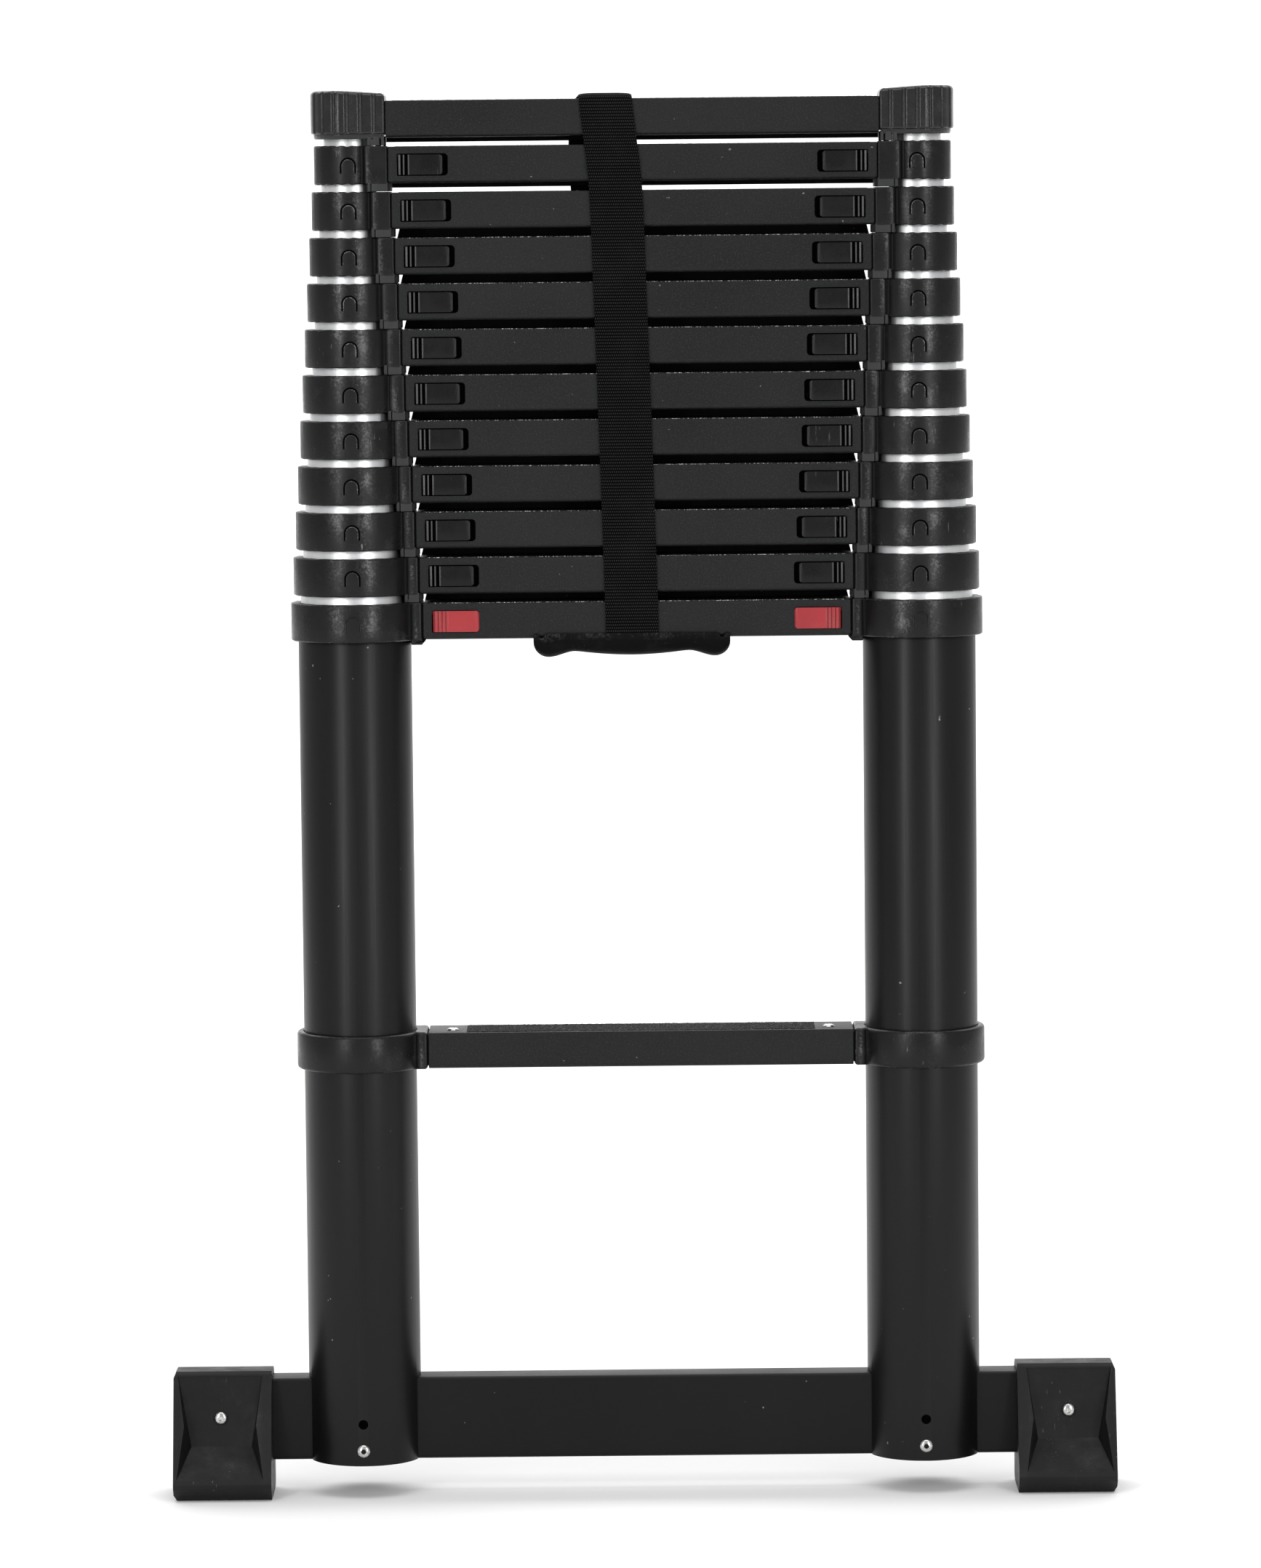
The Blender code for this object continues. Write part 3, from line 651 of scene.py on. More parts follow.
def rub_marks_and_painted_light(obj, cx, k, r, z, edge_u, height, amount=1.0, tail=0):
    """Rubbed wear where hands and the neighbouring rung rub: two upright bands on the round. Painted highlights on the
    block's front corner and the rims.
    Painted shade in the valley beside the block and in the bottom of the tab's groove; the last tail vertices are the
    bead, with a painted highlight."""
    mesh = obj.data
    layer = mesh.attributes.new("wear_and_painted_light", "FLOAT", "POINT")
    out = np.zeros(len(mesh.vertices), np.float32)
    for i, v in enumerate(mesh.vertices):
        u, w, h = k * (cx - v.co.x / MM), v.co.y / MM, (v.co.z / MM - z) / (height / 2)
        if hypot(u, w) < r - 1.6 and u < edge_u - 3:
            continue
        g = atan2(u, -w)
        # painted highlight down the block's front corner
        a = 0.75 * np.exp(-((u - edge_u) / 1.3) ** 2) if abs(w) > 18 else 0.0
        # rubbed wear: two upright bands on the round
        b = (np.exp(-((g + 0.24) / 0.12) ** 2) * max(0.12, h) + np.exp(-((g - 0.27) / 0.13) ** 2) * max(0.3, 0.55 + 0.45 * h)) if w < 0 else 0.0
        # painted highlight along the rims
        c = 0.45 if abs(h) > 0.93 and w < 0 and not tail else 0.0
        # painted shade in the valley beside the block
        shade = np.exp(-((u - edge_u + 3.0) / 1.7) ** 2) if abs(w) > 15 else 0.0
        out[i] = max(-1.0, min(1.0, max(a, b * amount, c)) - 0.85 * shade)
        # painted shade in the bottom of the tab's groove
        if tail and w < 0 and abs(h) < 0.7 and abs(u) < 8 and hypot(u, w) < r - 0.15:
            out[i] = -1.0
    if tail:
        # painted highlight on the bead
        out[-tail:] = 1.7
    layer.data.foreach_set("value", out)


def rung_plug(name, k, z, half):
    """The collar's spigot that fills the end of the rung."""
    return rounded_box(name, (k * (half + 4.0), k * (half - 3.0)), (-18.8, 18.8), (z - 10.2, z + 10.2), 0.6, M_LIP, 2)


# ------------------------------------------------------------ rungs
SLOT_IN, SLOT_L, SLOT_H, PAD_L, PAD_H = 5.8, 34.0, 14.8, 29.7, 13.3


def rung_tube(name, z, half, slots, mat, slot_l=SLOT_L):
    outer = fillet([(-D, -H), (D, -H), (D, H), (-D, H)], [3.3, 3.3, 0.8, 0.8], 6)
    inner = fillet([(-D + 1.6, -H + 1.6), (D - 1.6, -H + 1.6), (D - 1.6, H - 1.6), (-D + 1.6, H - 1.6)], [1.9, 1.9, 0.5, 0.5], 6)
    count, verts, faces = len(outer), [], []
    loops = [(outer, -half, 0.35), (outer, -half + 0.35, 0), (outer, half - 0.35, 0), (outer, half, 0.35), (inner, half, 0), (inner, -half, 0)]
    for pts, x, inset in loops:
        for y, zz in (offset(pts, inset) if inset else pts):
            verts.append((x, y, z + zz))
    for r in range(len(loops)):
        q = (r + 1) % len(loops)
        for i in range(count):
            j = (i + 1) % count
            faces.append((r * count + i, r * count + j, q * count + j, q * count + i))
    obj = make(name, verts, faces, mat)
    if slots:
        cutters = []
        for side, k in SIDES:
            a = half - SLOT_IN
            box = fillet([(k * a, -SLOT_H / 2), (k * (a - slot_l), -SLOT_H / 2), (k * (a - slot_l), SLOT_H / 2), (k * a, SLOT_H / 2)],
                         [0.8, 2.6, 2.6, 0.8], 5)
            cutters.append(prism(name + "_slot", [(p, z + q) for p, q in box], -D - 3, -D + 3, "y", mat))
        carve(obj, cutters)
    return obj


def latch_piece(name, s, k, z, half, mat):
    """Thumb pad with finger ribs, its carriage inside the rung and the lock pin."""
    a = half - SLOT_IN
    out, face, back = a - 0.9, -D - 1.7, -D + 5.2
    pad_l, pad_h, red = (31.0, 14.0, True) if s == 1 else (PAD_L, PAD_H, False)
    left = out - pad_l
    pts = [(out, back), (out, face + 0.9), (out - 0.4, face + 0.3)]
    fins = (1.4, 3.9, 6.5) if red else (3.2,)
    deep = 0.9 if red else 2.2
    for groove_end in fins:
        g0 = out - groove_end + (0.75 if red else 1.6)
        pts += [(g0, face - 0.05), (g0 - 0.12, face + deep), (out - groove_end, face + deep), (out - groove_end - 0.12, face + 0.05)]
    edge = out - (9.2 if red else 6.6)
    pts += [(edge + (1.0 if red else 2.4), face + 0.05), (edge + (0.9 if red else 2.3), face + deep), (edge + 0.1, face + deep), (edge, face - 0.1), (edge - 0.5, face - 0.15), (edge - 0.9, face + 0.1)]
    for u in np.linspace(0, 1, 7):
        pts.append((edge - 1.2 - (edge - 1.2 - left - 1.6) * u, face + 0.1 - 0.35 * sin(pi * u)))
    pts += [(left + 0.6, face + 0.5), (left + 0.1, face + 1.2)]
    pts += [(left, -D - 0.12), (left + 5.8, -D - 0.12), (left + 5.8, back)] if red else [(left, face + 2.4), (left, back)]
    pad = prism(name + "_pad", [(k * p, q) for p, q in pts], z - pad_h / 2, z + pad_h / 2, "z", mat)
    face_plan = fillet([(k * out, -pad_h / 2), (k * left, -pad_h / 2), (k * left, pad_h / 2), (k * out, pad_h / 2)], [0.6, 2.3, 2.3, 0.6], 5)
    mould = prism(name + "_mould", [(p, z + q) for p, q in face_plan], face - 2, back + 1, "y", mat)
    carve(pad, [mould], "INTERSECT", bevel=0.3, angle=30)
    layer = pad.data.attributes.new("wear_and_painted_light", "FLOAT", "POINT")
    for i, v in enumerate(pad.data.vertices):
        x, y = v.co.x / MM * k, v.co.y / MM
        # painted highlights on the rib tops and the pad's raised edge
        if y < face + 0.5 and x > edge - 0.6:
            layer.data[i].value = 0.2 if red else 0.62
        # painted highlight along the pad's inner end
        elif not red and y < face + 0.8 and x < left + 0.8:
            layer.data[i].value = 0.42
        # painted shade on the pad's parts behind the face, down in the slot
        elif not red and y > face + 1.6:
            layer.data[i].value = -1.0
    carriage = rounded_box(name + "_carriage", (k * (a - SLOT_L - 0.4), k * (a + 2.2)), (-D + 5.0, -D + 7.2), (z - H + 2.4, z + H - 3.2), 0.4, mat, 1)
    # the carriage is painted near-black: painted shade inside the rung
    carriage.data.attributes.new("wear_and_painted_light", "FLOAT", "POINT").data.foreach_set("value", np.full(len(carriage.data.vertices), -1, np.float32))
    inner = radius(s) - STEP
    arm = rounded_box(name + "_arm", (k * (a - 1.5), k * (a + 2.0)), (-D + 3, 1.8), (z + 4.7, z + 8.2), 0.3, mat, 1)
    pin = rounded_box(name + "_pin", (k * (a - 1.0), k * (AX - inner - 1.0)), (-1.8, 1.8), (z + 4.8, z + 8.1), 0.4, mat, 2)
    return join(name, [pad, carriage, arm, pin])


def grit_piece(name, z, half, y0, y1, mat=None, rise=0.28):
    """A bonded grit strip on the tread, its top broken up by grains."""
    nx, ny = int(2 * half / 0.9), int((y1 - y0) / 1.9)
    xs, ys = np.linspace(-half, half, nx + 1), np.linspace(y0, y1, ny + 1)
    h = rise + 0.32 * rise * rng.standard_normal((nx + 1, ny + 1)).clip(-1.6, 2.4)
    verts = [(x, y, z + H + h[i, j]) for i, x in enumerate(xs) for j, y in enumerate(ys)]
    faces = [(i * (ny + 1) + j, (i + 1) * (ny + 1) + j, (i + 1) * (ny + 1) + j + 1, i * (ny + 1) + j + 1) for i in range(nx) for j in range(ny)]
    rim = [i * (ny + 1) for i in range(nx + 1)] + [nx * (ny + 1) + j for j in range(1, ny + 1)] + \
          [i * (ny + 1) + ny for i in range(nx - 1, -1, -1)] + [j for j in range(ny - 1, 0, -1)]
    base = len(verts)
    for q in rim:
        verts.append((verts[q][0], verts[q][1], z + H + 0.02))
    for i in range(len(rim)):
        j = (i + 1) % len(rim)
        faces.append((rim[i], rim[j], base + j, base + i))
    faces.append(tuple(base + i for i in range(len(rim))))
    obj = make(name, verts, faces, M_GRIT_WORN, 60)
    # without a given material, the front row of faces takes the glinting grit: a painted highlight along the strip's
    # front edge
    if mat is None:
        obj.data.materials.append(M_GRIT_PAINTED_GLINT)
        for p in obj.data.polygons:
            if p.center.y / MM < y0 + 1.6:
                p.material_index = 1
    return obj


def rivet(name, x, y, z, r, mat, axis="z", sign=1, seg=28, hole=True):
    """A domed blind rivet head with its mandrel hole, standing on a face at (x, y, z)."""
    dome = [(r, -0.35), (r, 0.25)]
    for g in np.linspace(0.15, pi / 2, 8):
        dome.append((r * cos(g) * 0.97, 0.25 + r * 0.42 * sin(g)))
    if hole:
        rr = r * 0.34
        dome = [p for p in dome if p[0] > rr * 1.25] + [(rr * 1.12, 0.25 + r * 0.38), (rr, 0.25 + r * 0.30), (rr * 0.95, -0.1), (0.001, -0.2)]
    else:
        dome[-1] = (0.001, dome[-1][1])
    dome.append((0.001, -0.35))
    if axis == "z":
        return lathe(name, [(a, z + sign * b) for a, b in dome], x, y, mat, seg, "z", 40)
    return lathe(name, [(a, y + sign * b) for a, b in dome], x, z, mat, seg, "y", 40)


# ------------------------------------------------------------ sections
for s in range(1, S + 1):
    body = "base" if s == 1 else f"section_{s:02d}"
    z, r, label = zc(s), radius(s), f"{s:02d}"
    seam = r + BLOCK if s < S else 25.6
    half = AX - seam
    # rung extrusion
    rung = rung_tube(f"rung_extrusion_{label}", z, half, s < S, M_RUNG, 31.0 if s == 1 else SLOT_L)
    node = {1: "base_rung", S - 1: "section_11_frame", S: "section_12_frame"}.get(s, f"rung_{label}")
    fit_out(rung, body, "moulding", node)
    # the top three sections get plain dull grit; the other strips get a front row of painted glints
    plain_grit = s >= S - 2
    strip = grit_piece(f"grit_strip_{label}", z, half - 4.5, -D + (4.5 if plain_grit else 1.3), D - 1.3, M_GRIT_WORN if plain_grit else None, 0.16 if plain_grit else 0.28)
    fit_out(strip, body)
    # lip or skirt along the rear edge; the skirts of the lower sections hang across the gap to the rung below and stand
    # in for the darkness seen through those gaps, a dark sheet of painted shade
    if s >= 2:
        if s >= S - 1:
            pts = fillet([(D - 1.6, -H - 3.0), (D, -H - 3.0), (D, -H + 3.5), (D - 1.6, -H + 3.5)], 0.4, 3)
            reach_top = reach_bottom = AX - 24.7 if s == S else half - 0.4
        else:
            pts = fillet([(D + 0.55, -H - 6.2 - 1.0), (D + 1.9, -H - 6.2 - 1.0), (D + 1.9, -H + 6.4), (D - 0.5, -H + 6.4), (D - 0.5, -H + 3.4), (D + 0.55, -H + 1.2)], 0.35, 3)
            reach_top, reach_bottom = AX - (radius(s - 1) + BLOCK) - 3.2, AX - (radius(s - 1) + BLOCK) + 0.1
        lip = prism(f"rear_lip_and_shade_skirt_{label}", [(y, z + h) for y, h in pts], -1, 1, "x", M_LIP)
        for v in lip.data.vertices:
            t = min(1, max(0, (v.co.z / MM - (z - H - 6.2)) / 6.0))
            v.co.x = (1 if v.co.x > 0 else -1) * (reach_bottom + (reach_top - reach_bottom) * t) * MM
        fit_out(lip, body, "moulding")
    for side, k in SIDES:
        # tube
        if s == 1:
            bottom = BAR[2]
            w = WALL
            tube = lathe(f"base_tube_shell_{side}", fillet([(r - w, z + 2.2), (r, z + 2.2), (r, bottom), (r - w, bottom)], 0.35, 2), k * AX, 0, M_TUBE, 144)
            notch = prism("notch", fillet([(k * AX - 50, bottom - 5), (k * AX + 50, bottom - 5), (k * AX + 50, BAR[3] + 0.4), (k * AX - 50, BAR[3] + 0.4)], 0), -1, 1, "y", M_TUBE)
            for v in notch.data.vertices:
                v.co.y = (1 if v.co.y > 0 else -1) * (BAR[1] + 0.4) * MM
            hole = lathe("hole", [(3.3, -r - 6), (3.3, -r + 6), (0.001, -r + 6), (0.001, -r - 6)], k * AX, 51.5, M_TUBE, 32, "y")
            carve(tube, [notch, hole])
            fit_out(tube, body, "black_metal", f"base_tube_{side}")
            fit_out(rivet(f"bar_rivet_{side}", k * AX, -r - 0.05, 33.4, 4.5, M_STEEL, "y", -1), body)
        else:
            tube = lathe(f"tube_{side}_{label}_shell", fillet([(r - WALL, z + 2.2), (r, z + 2.2), (r, z + 2.2 - TUBE_LEN), (r - WALL, z + 2.2 - TUBE_LEN)], 0.3, 2), k * AX, 0, M_ALU, 112)
            nodes = () if s > 10 else (f"tube_{side}_{label}",)
            fit_out(tube, body, "raw_aluminium", *nodes)
        fit_out(rung_plug(f"rung_plug_{side}_{label}", k, z, half), body, "moulding")
        if s < S:
            # collar and latch
            c = collar(f"collar_{side}_{label}", s, k, z, r + 0.3, r - STEP + 0.4, 2.5, M_COLLAR)
            fit_out(c, body, "moulding")
            a = half - SLOT_IN
            lp = latch_piece(f"latch_pad_{side}_{label}", s, k, z, half, M_RED if s == 1 else M_LATCH)
            fit_out(lp, f"latch_{side}_{label}", "red_latch" if s == 1 else "latch", f"latch_{side}_{label}")
        # spacer pad under the block
        if s > 1:
            u0, u1 = r - 1.6 - 0.42 * (s - 2), seam - 0.5
            u2 = radius(s - 1) + BLOCK - 0.5
            low, high = z - H - PITCH + RUNG_H + 0.75, z - H + 1.0
            parts = []
            for e in (-1, 1):
                posts = ((13.4, 16.2), (17.3, 21.4), (22.6, 24.6)) if s == S else ((u0, u0 + 2.2), (u0 + 2.6, u1))
                for p0, p1 in posts:
                    plan = fillet([(p0, e * 15.8), (p0, e * 20.9), (p1, e * 20.9), (p1, e * 15.8)], [0, 0.6, 0.3, 0], 3)
                    parts.append(prism(f"spacer_{e}", [(k * (AX - p), q) for p, q in plan], low, high, "z", M_SPACER, edge=0.5, seg=3))
            if s < S:
                parts.append(rounded_box("spacer_web", (k * (AX - u1 + 1), k * (AX - u2)), (-14, 16), (low + 0.1, high), 0.3, M_SPACER, 1))
            fit_out(join(f"spacer_{side}_{label}", parts), body, "moulding")
        else:
            pts = fillet([(k * (AX - r - 0.5), z - H + 1.0), (k * (AX - seam + 0.7), z - H + 1.0), (k * (AX - seam + 0.7), z - H - 0.25),
                          (k * (AX - seam - 1.9), z - H - 0.25), (k * (AX - seam + 1.0), z - H - 3.5), (k * (AX - r - 0.5), z - H - 3.5)], [0, 0, 0, 0.3, 0.5, 0.8], 3)
            fit_out(prism(f"block_foot_{side}", pts, -20.6, 20.6, "y", M_COLLAR, edge=1.0), body, "moulding")

# ------------------------------------------------------------ end caps of the top rung
for side, k in SIDES:
    z = zc(S)
    base_plan = smooth_outline([(25.4, 0), (25.4, 21.9), (9, 22.6)] + [(24.9 * cos(g), 24.9 * sin(g)) for g in np.linspace(radians(100), pi, 30)] +
                               [(24.9 * cos(g), 24.9 * sin(g)) for g in np.linspace(pi, radians(260), 30)][1:] + [(9, -22.6), (25.4, -21.9)], 1.2, 40)
    if area2(base_plan) < 0:
        base_plan = base_plan[::-1]
    p = np.array(base_plan + base_plan[:1])
    seg = np.linalg.norm(np.diff(p, axis=0), axis=1)
    run = np.concatenate([[0], np.cumsum(seg)])
    ribs = 19
    t = np.linspace(0, run[-1], ribs * 14, endpoint=False)
    plan = [(float(np.interp(q, run, p[:, 0])), float(np.interp(q, run, p[:, 1]))) for q in t]
    phase = (t / run[-1] * ribs) % 1.0
    depth = [0.0 if f < 0.70 else (sin((f - 0.70) / 0.30 * pi) ** 0.7) for f in phase]
    depth = [0.0 if plan[i][0] > 24.6 else d for i, d in enumerate(depth)]

    def fluted(inset, flute):
        o = offset(plan, inset) if inset > 1e-6 else plan
        nx = offset(plan, 1.0)
        return [(a[0] + (b[0] - c[0]) * d * flute, a[1] + (b[1] - c[1]) * d * flute) for a, b, c, d in zip(o, nx, plan, depth)]

    top = 1000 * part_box("section_12_frame")[1].z
    crown = (lambda drop: (lambda u, v: top - drop - 2.1 * max(0.0, (u + 8) / 34) ** 1.3))
    levels = [(crown(1.0), 6.0, 0.0), (crown(0.35), 3.4, 0.3), (crown(0.75), 1.6, 0.7), (crown(1.7), 0.5, 1.0), (crown(3.0), 0.0, 1.0),
              (z - 8.3, 0.0, 1.0), (z - 9.2, 0.15, 0.6), (z - 9.6, 0.5, 0.0), (z - 9.9, 1.6, 0.0), (z - 12.4, 1.9, 0.0), (z - 13.1, 2.6, 0.0)]
    rings = [(fluted(inset, fl), level) for level, inset, fl in levels]
    bore = [(16.9 * a / hypot(a, b), 16.9 * b / hypot(a, b)) for a, b in plan]
    shrink = [(x * 0.35, y * 0.35) for x, y in plan]
    verts, faces, count = [], [], len(plan)
    stack = [(shrink, crown(1.15))] + rings + [(bore, z - 13.1), (bore, z - 4.0)]
    for pts, lv in stack:
        for u, v in pts:
            verts.append((k * AX - k * u, v, lv(u, v) if callable(lv) else lv))
    for q in range(len(stack) - 1):
        for i in range(count):
            j = (i + 1) % count
            faces.append((q * count + i, q * count + j, (q + 1) * count + j, (q + 1) * count + i))
    faces.append(tuple(range(count)))
    faces.append(tuple((len(stack) - 1) * count + i for i in range(count)))
    fit_out(make(f"end_cap_{side}", verts, faces, M_CAP, 40), "section_12", "moulding")

# ------------------------------------------------------------ fixed lower rung
z, r, seam = Z_LOW, radius(1), radius(1) + BLOCK
half = AX - seam
low = rung_tube("lower_rung_extrusion", z, half, False, M_RUNG)
fit_out(low, "base", "moulding", "lower_rung")
fit_out(grit_piece("lower_grit_strip", z, 117.6, -D + 3.0, D - 2.5, M_GRIT_WORN), "base")
heads = join("lower_tread_rivets", [rivet(f"lower_tread_rivet_{side}", k * 127, -5, z + H, 4.0, M_STEEL) for side, k in SIDES])
fit_out(heads, "base")
for side, k in SIDES:
    fit_out(rung_plug(f"lower_rung_plug_{side}", k, z, half), "base", "moulding")
    fit_out(collar(f"lower_collar_{side}", 1, k, z, r + 0.3, 0, None, M_COLLAR, edge=2.3, height=25.2, mark=False), "base", "moulding")

# ------------------------------------------------------------ stabiliser bar and shoes
bx, by, bz0, bz1 = BAR
outer = fillet([(-by, bz0), (by, bz0), (by, bz1), (-by, bz1)], 3.0, 6)
inner = fillet([(-by + 2, bz0 + 2), (by - 2, bz0 + 2), (by - 2, bz1 - 2), (-by + 2, bz1 - 2)], 1.4, 6)
count, verts, faces = len(outer), [], []
for pts, x in ((outer, -bx), (outer, bx), (inner, bx), (inner, -bx)):
    for y, h in pts:
        verts.append((x, y, h))
for q in range(4):
    w = (q + 1) % 4
    for i in range(count):
        j = (i + 1) % count
        faces.append((q * count + i, q * count + j, w * count + j, w * count + i))
fit_out(make("stabiliser_tube", verts, faces, M_BAR), "base", "black_metal", "stabiliser_bar")

heel = [(8 + 7 * sin(radians(t)), 7 - 7 * cos(radians(t))) for t in range(0, 91, 10)]
shoe_side = [(-34, 0)] + heel + [(15, 76), (12.9, 81.2), (8, 84.1), (-17.6, 85.4), (-19.6, 83.5), (-42.5, 12), (-42.2, 9)]
for side, k in SIDES:
    lo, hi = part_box(f"shoe_{side}")
    x_in, x_out = (1000 * hi.x, 1000 * lo.x) if k < 0 else (1000 * lo.x, 1000 * hi.x)
    mid, hw = (x_in + x_out) / 2, abs(x_out - x_in) / 2
    shoe = prism(f"shoe_body_{side}", shoe_side, min(x_in, x_out), max(x_in, x_out), "x", M_SHOE)
    b = bmesh.new()
    bmesh.ops.create_cube(b, size=1.0)
    corners = {(-1, -1, 1): (-32.0, -60, 83.4), (1, -1, 1): (32.0, -60, 83.4), (-1, 1, 1): (-28.4, -18.6, 82.4), (1, 1, 1): (28.4, -18.6, 82.4),
               (-1, -1, -1): (-35.6, -60, 2), (1, -1, -1): (35.6, -60, 2), (-1, 1, -1): (-20.5, -15.4, 33.5), (1, 1, -1): (20.5, -15.4, 33.5)}
    for v in b.verts:
        x, y, h = corners[tuple(1 if c > 0 else -1 for c in v.co)]
        v.co = ((x + mid + k * 1.6) * MM, y * MM, h * MM)
    bmesh.ops.triangulate(b, faces=b.faces)
    bmesh.ops.recalc_face_normals(b, faces=b.faces)
    me = bpy.data.meshes.new("pocket")
    b.to_mesh(me)
    b.free()
    pocket = bpy.data.objects.new("pocket", me)
    bpy.context.scene.collection.objects.link(pocket)
    socket = prism("socket", fillet([(-by - 0.3, bz0 - 0.3), (by + 0.3, bz0 - 0.3), (by + 0.3, bz1 + 0.3), (-by - 0.3, bz1 + 0.3)], 2.5, 4),
                   min(x_in - k * 5, k * (bx + 0.4)), max(x_in - k * 5, k * (bx + 0.4)), "x", M_SHOE)
    # outer corners taken off, top and bottom
    chamfers = []
    for zz, dz in ((85.5, -4.2), (0.0, 4.2)):
        pts = [(x_out + k * 3, zz - (1 if dz > 0 else -1) * 3), (x_out - k * 2.0, zz), (x_out, zz + dz), (x_out + k * 3, zz + dz)]
        pts[0] = (x_out + k * 3, zz + (-3 if dz > 0 else 3))
        pts.insert(1, (x_out - k * 2.0, zz + (-3 if dz > 0 else 3)))
        chamfers.append(prism("chamfer", pts, -60, 60, "y", M_SHOE))
    carve(shoe, [pocket, socket] + chamfers, bevel=0.35, angle=20)
    fit_out(shoe, "base", "shoe_rubber", f"shoe_{side}")
    fit_out(rivet(f"shoe_screw_{side}", k * 287.5, -17.5, 53.1, 4.6, M_STEEL, "y", -1), "base")

# ------------------------------------------------------------ carrying handle
h0, h1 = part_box("carry_handle")
hx, hw, zb = 500 * (h0.x + h1.x), 500 * (h1.x - h0.x), zc(1) - H
verts, faces, rows = [], [], []
for u in np.concatenate([[-1], -1 + 0.16 * (1 - np.cos(np.linspace(0, pi / 2, 9)))[1:], np.linspace(-0.82, 0.82, 61), (1 - 0.16 * (1 - np.cos(np.linspace(0, pi / 2, 9)))[1:])[::-1], [1]]):
    a = abs(u)
    if a < 0.565:
        dip = 8.9 + 3.0 * cos(pi / 2 * a / 0.565) ** 0.9
    elif a < 0.85:
        dip = 8.9 + 4.1 * (0.5 - 0.5 * cos(pi * (a - 0.565) / 0.285))
    else:
        dip = 3.0 + 10.0 * sqrt(max(0.0, 1 - ((a - 0.85) / 0.15) ** 2))
    blend = min(1.0, abs(a - 0.565) / 0.05)
    dip += 0.18 * (1 - blend)
    notch = 2.9 if 0.895 < a < 0.935 else 0.0
    lip = 3.3 - notch - (1.0 if a > 0.975 else 0)
    y1, rr = D + 2.35, min(10.0, dip * 0.85)
    pinch = 0.0 if a < 0.9 else 1.6 * ((a - 0.9) / 0.1) ** 2
    y1 -= pinch * 0.4
    ring = [(-y1 + 0.25, zb + lip), (-y1, zb + lip - 0.4)]
    for g in np.linspace(0, pi / 2, 8):
        ring.append((-y1 + rr * (1 - cos(g)), zb - dip + rr * (1 - sin(g))))
    for g in np.linspace(pi / 2, 0, 8):
        ring.append((y1 - rr * (1 - cos(g)), zb - dip + rr * (1 - sin(g))))
    ring += [(y1, zb + lip - 0.4), (y1 - 0.25, zb + lip), (D + 0.35, zb + lip), (D + 0.3, zb - 0.3), (-D - 0.3, zb - 0.3), (-D - 0.35, zb + lip)]
    rows.append([(hx + u * hw, y, zz) for y, zz in ring])
m = len(rows[0])
verts = [v for row in rows for v in row]
for i in range(len(rows) - 1):
    for j in range(m):
        q = (j + 1) % m
        faces.append((i * m + j, i * m + q, (i + 1) * m + q, (i + 1) * m + j))
faces.append(tuple(range(m))[::-1])
faces.append(tuple((len(rows) - 1) * m + j for j in range(m)))
grip = make("grip_handle", verts, faces, M_HANDLE, 40)
layer = grip.data.attributes.new("wear_and_painted_light", "FLOAT", "POINT")
# painted highlight along the front of the lip band
for i, v in enumerate(grip.data.vertices):
    if v.co.y < 0 and v.co.z / MM > zb - 0.5:
        layer.data[i].value = 0.32
fit_out(grip, "base", "moulding", "carry_handle")

# ------------------------------------------------------------ closing strap
s0, s1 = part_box("strap")
STRAP_W, STRAP_T = 35.5, 1.5
z_top, z_low = zc(S) + H, 1000 * s0.z
yf, yb = 1000 * s0.y + 0.8, 1000 * s1.y - 0.8


def strap_x(z, front):
    u = max(0.0, min(1.0, (z - z_low) / (z_top - z_low)))
    lean = np.interp(u, (0, 0.3, 0.5, 0.669, 0.754, 0.84, 0.88, 0.922, 1), (0, 0.18, 0.31, 0.433, 0.487, 0.56, 0.655, 0.78, 1))
    return -3.0 - 15.0 * float(lean) if front else -9.0 - 18.0 * u


path = [(strap_x(zz, True), yf, zz) for zz in np.linspace(z_low, z_top - 2, 60)]
for y, up in ((yf, 0.4), (-21.3, 1.75), (-18.5, 2.3), (-12, 3.0), (-4, 3.3), (4, 3.0), (12, 2.2), (19, 1.4), (22.6, 1.0), (yb, 0.0)):
    mix = 0.35 * max(0, (y + 4) / (yb + 4)) ** 2
    path.append((strap_x(z_top, True) * (1 - mix) + strap_x(z_top, False) * mix, y, z_top + up))
for zz in np.linspace(z_top - 2, z_low, 60):
    mix = 0.35 + 0.65 * min(1, (z_top - zz) / 26)
    path.append((strap_x(zz, True) * (1 - mix) + strap_x(zz, False) * mix if mix < 1 else strap_x(zz, False), yb, zz))
path = np.array(path)
d = np.linalg.norm(np.diff(path, axis=0), axis=1)
run = np.concatenate([[0], np.cumsum(d)])
STRAP_LEN = run[-1]
t = np.arange(0, STRAP_LEN, 0.51)
line = np.stack([np.interp(t, run, path[:, i]) for i in range(3)], 1)
kern = np.exp(-0.5 * (np.arange(-12, 13) / 3.0) ** 2)
kern /= kern.sum()
pad = np.pad(line, ((12, 12), (0, 0)), mode="edge")
soft = np.stack([np.convolve(pad[:, i], kern, "valid") for i in range(3)], 1)
wide = np.exp(-0.5 * (np.arange(-40, 41) / 14.0) ** 2)
soft[:, 0] = np.convolve(np.pad(line[:, 0], 40, mode="edge"), wide / wide.sum(), "valid")
soft[:3, 1:], soft[-3:, 1:] = line[:3, 1:], line[-3:, 1:]
tan_v = np.gradient(soft, axis=0)
tan_v /= np.linalg.norm(tan_v, axis=1, keepdims=True)
out_v = np.cross(tan_v, np.array([1.0, 0, 0]))
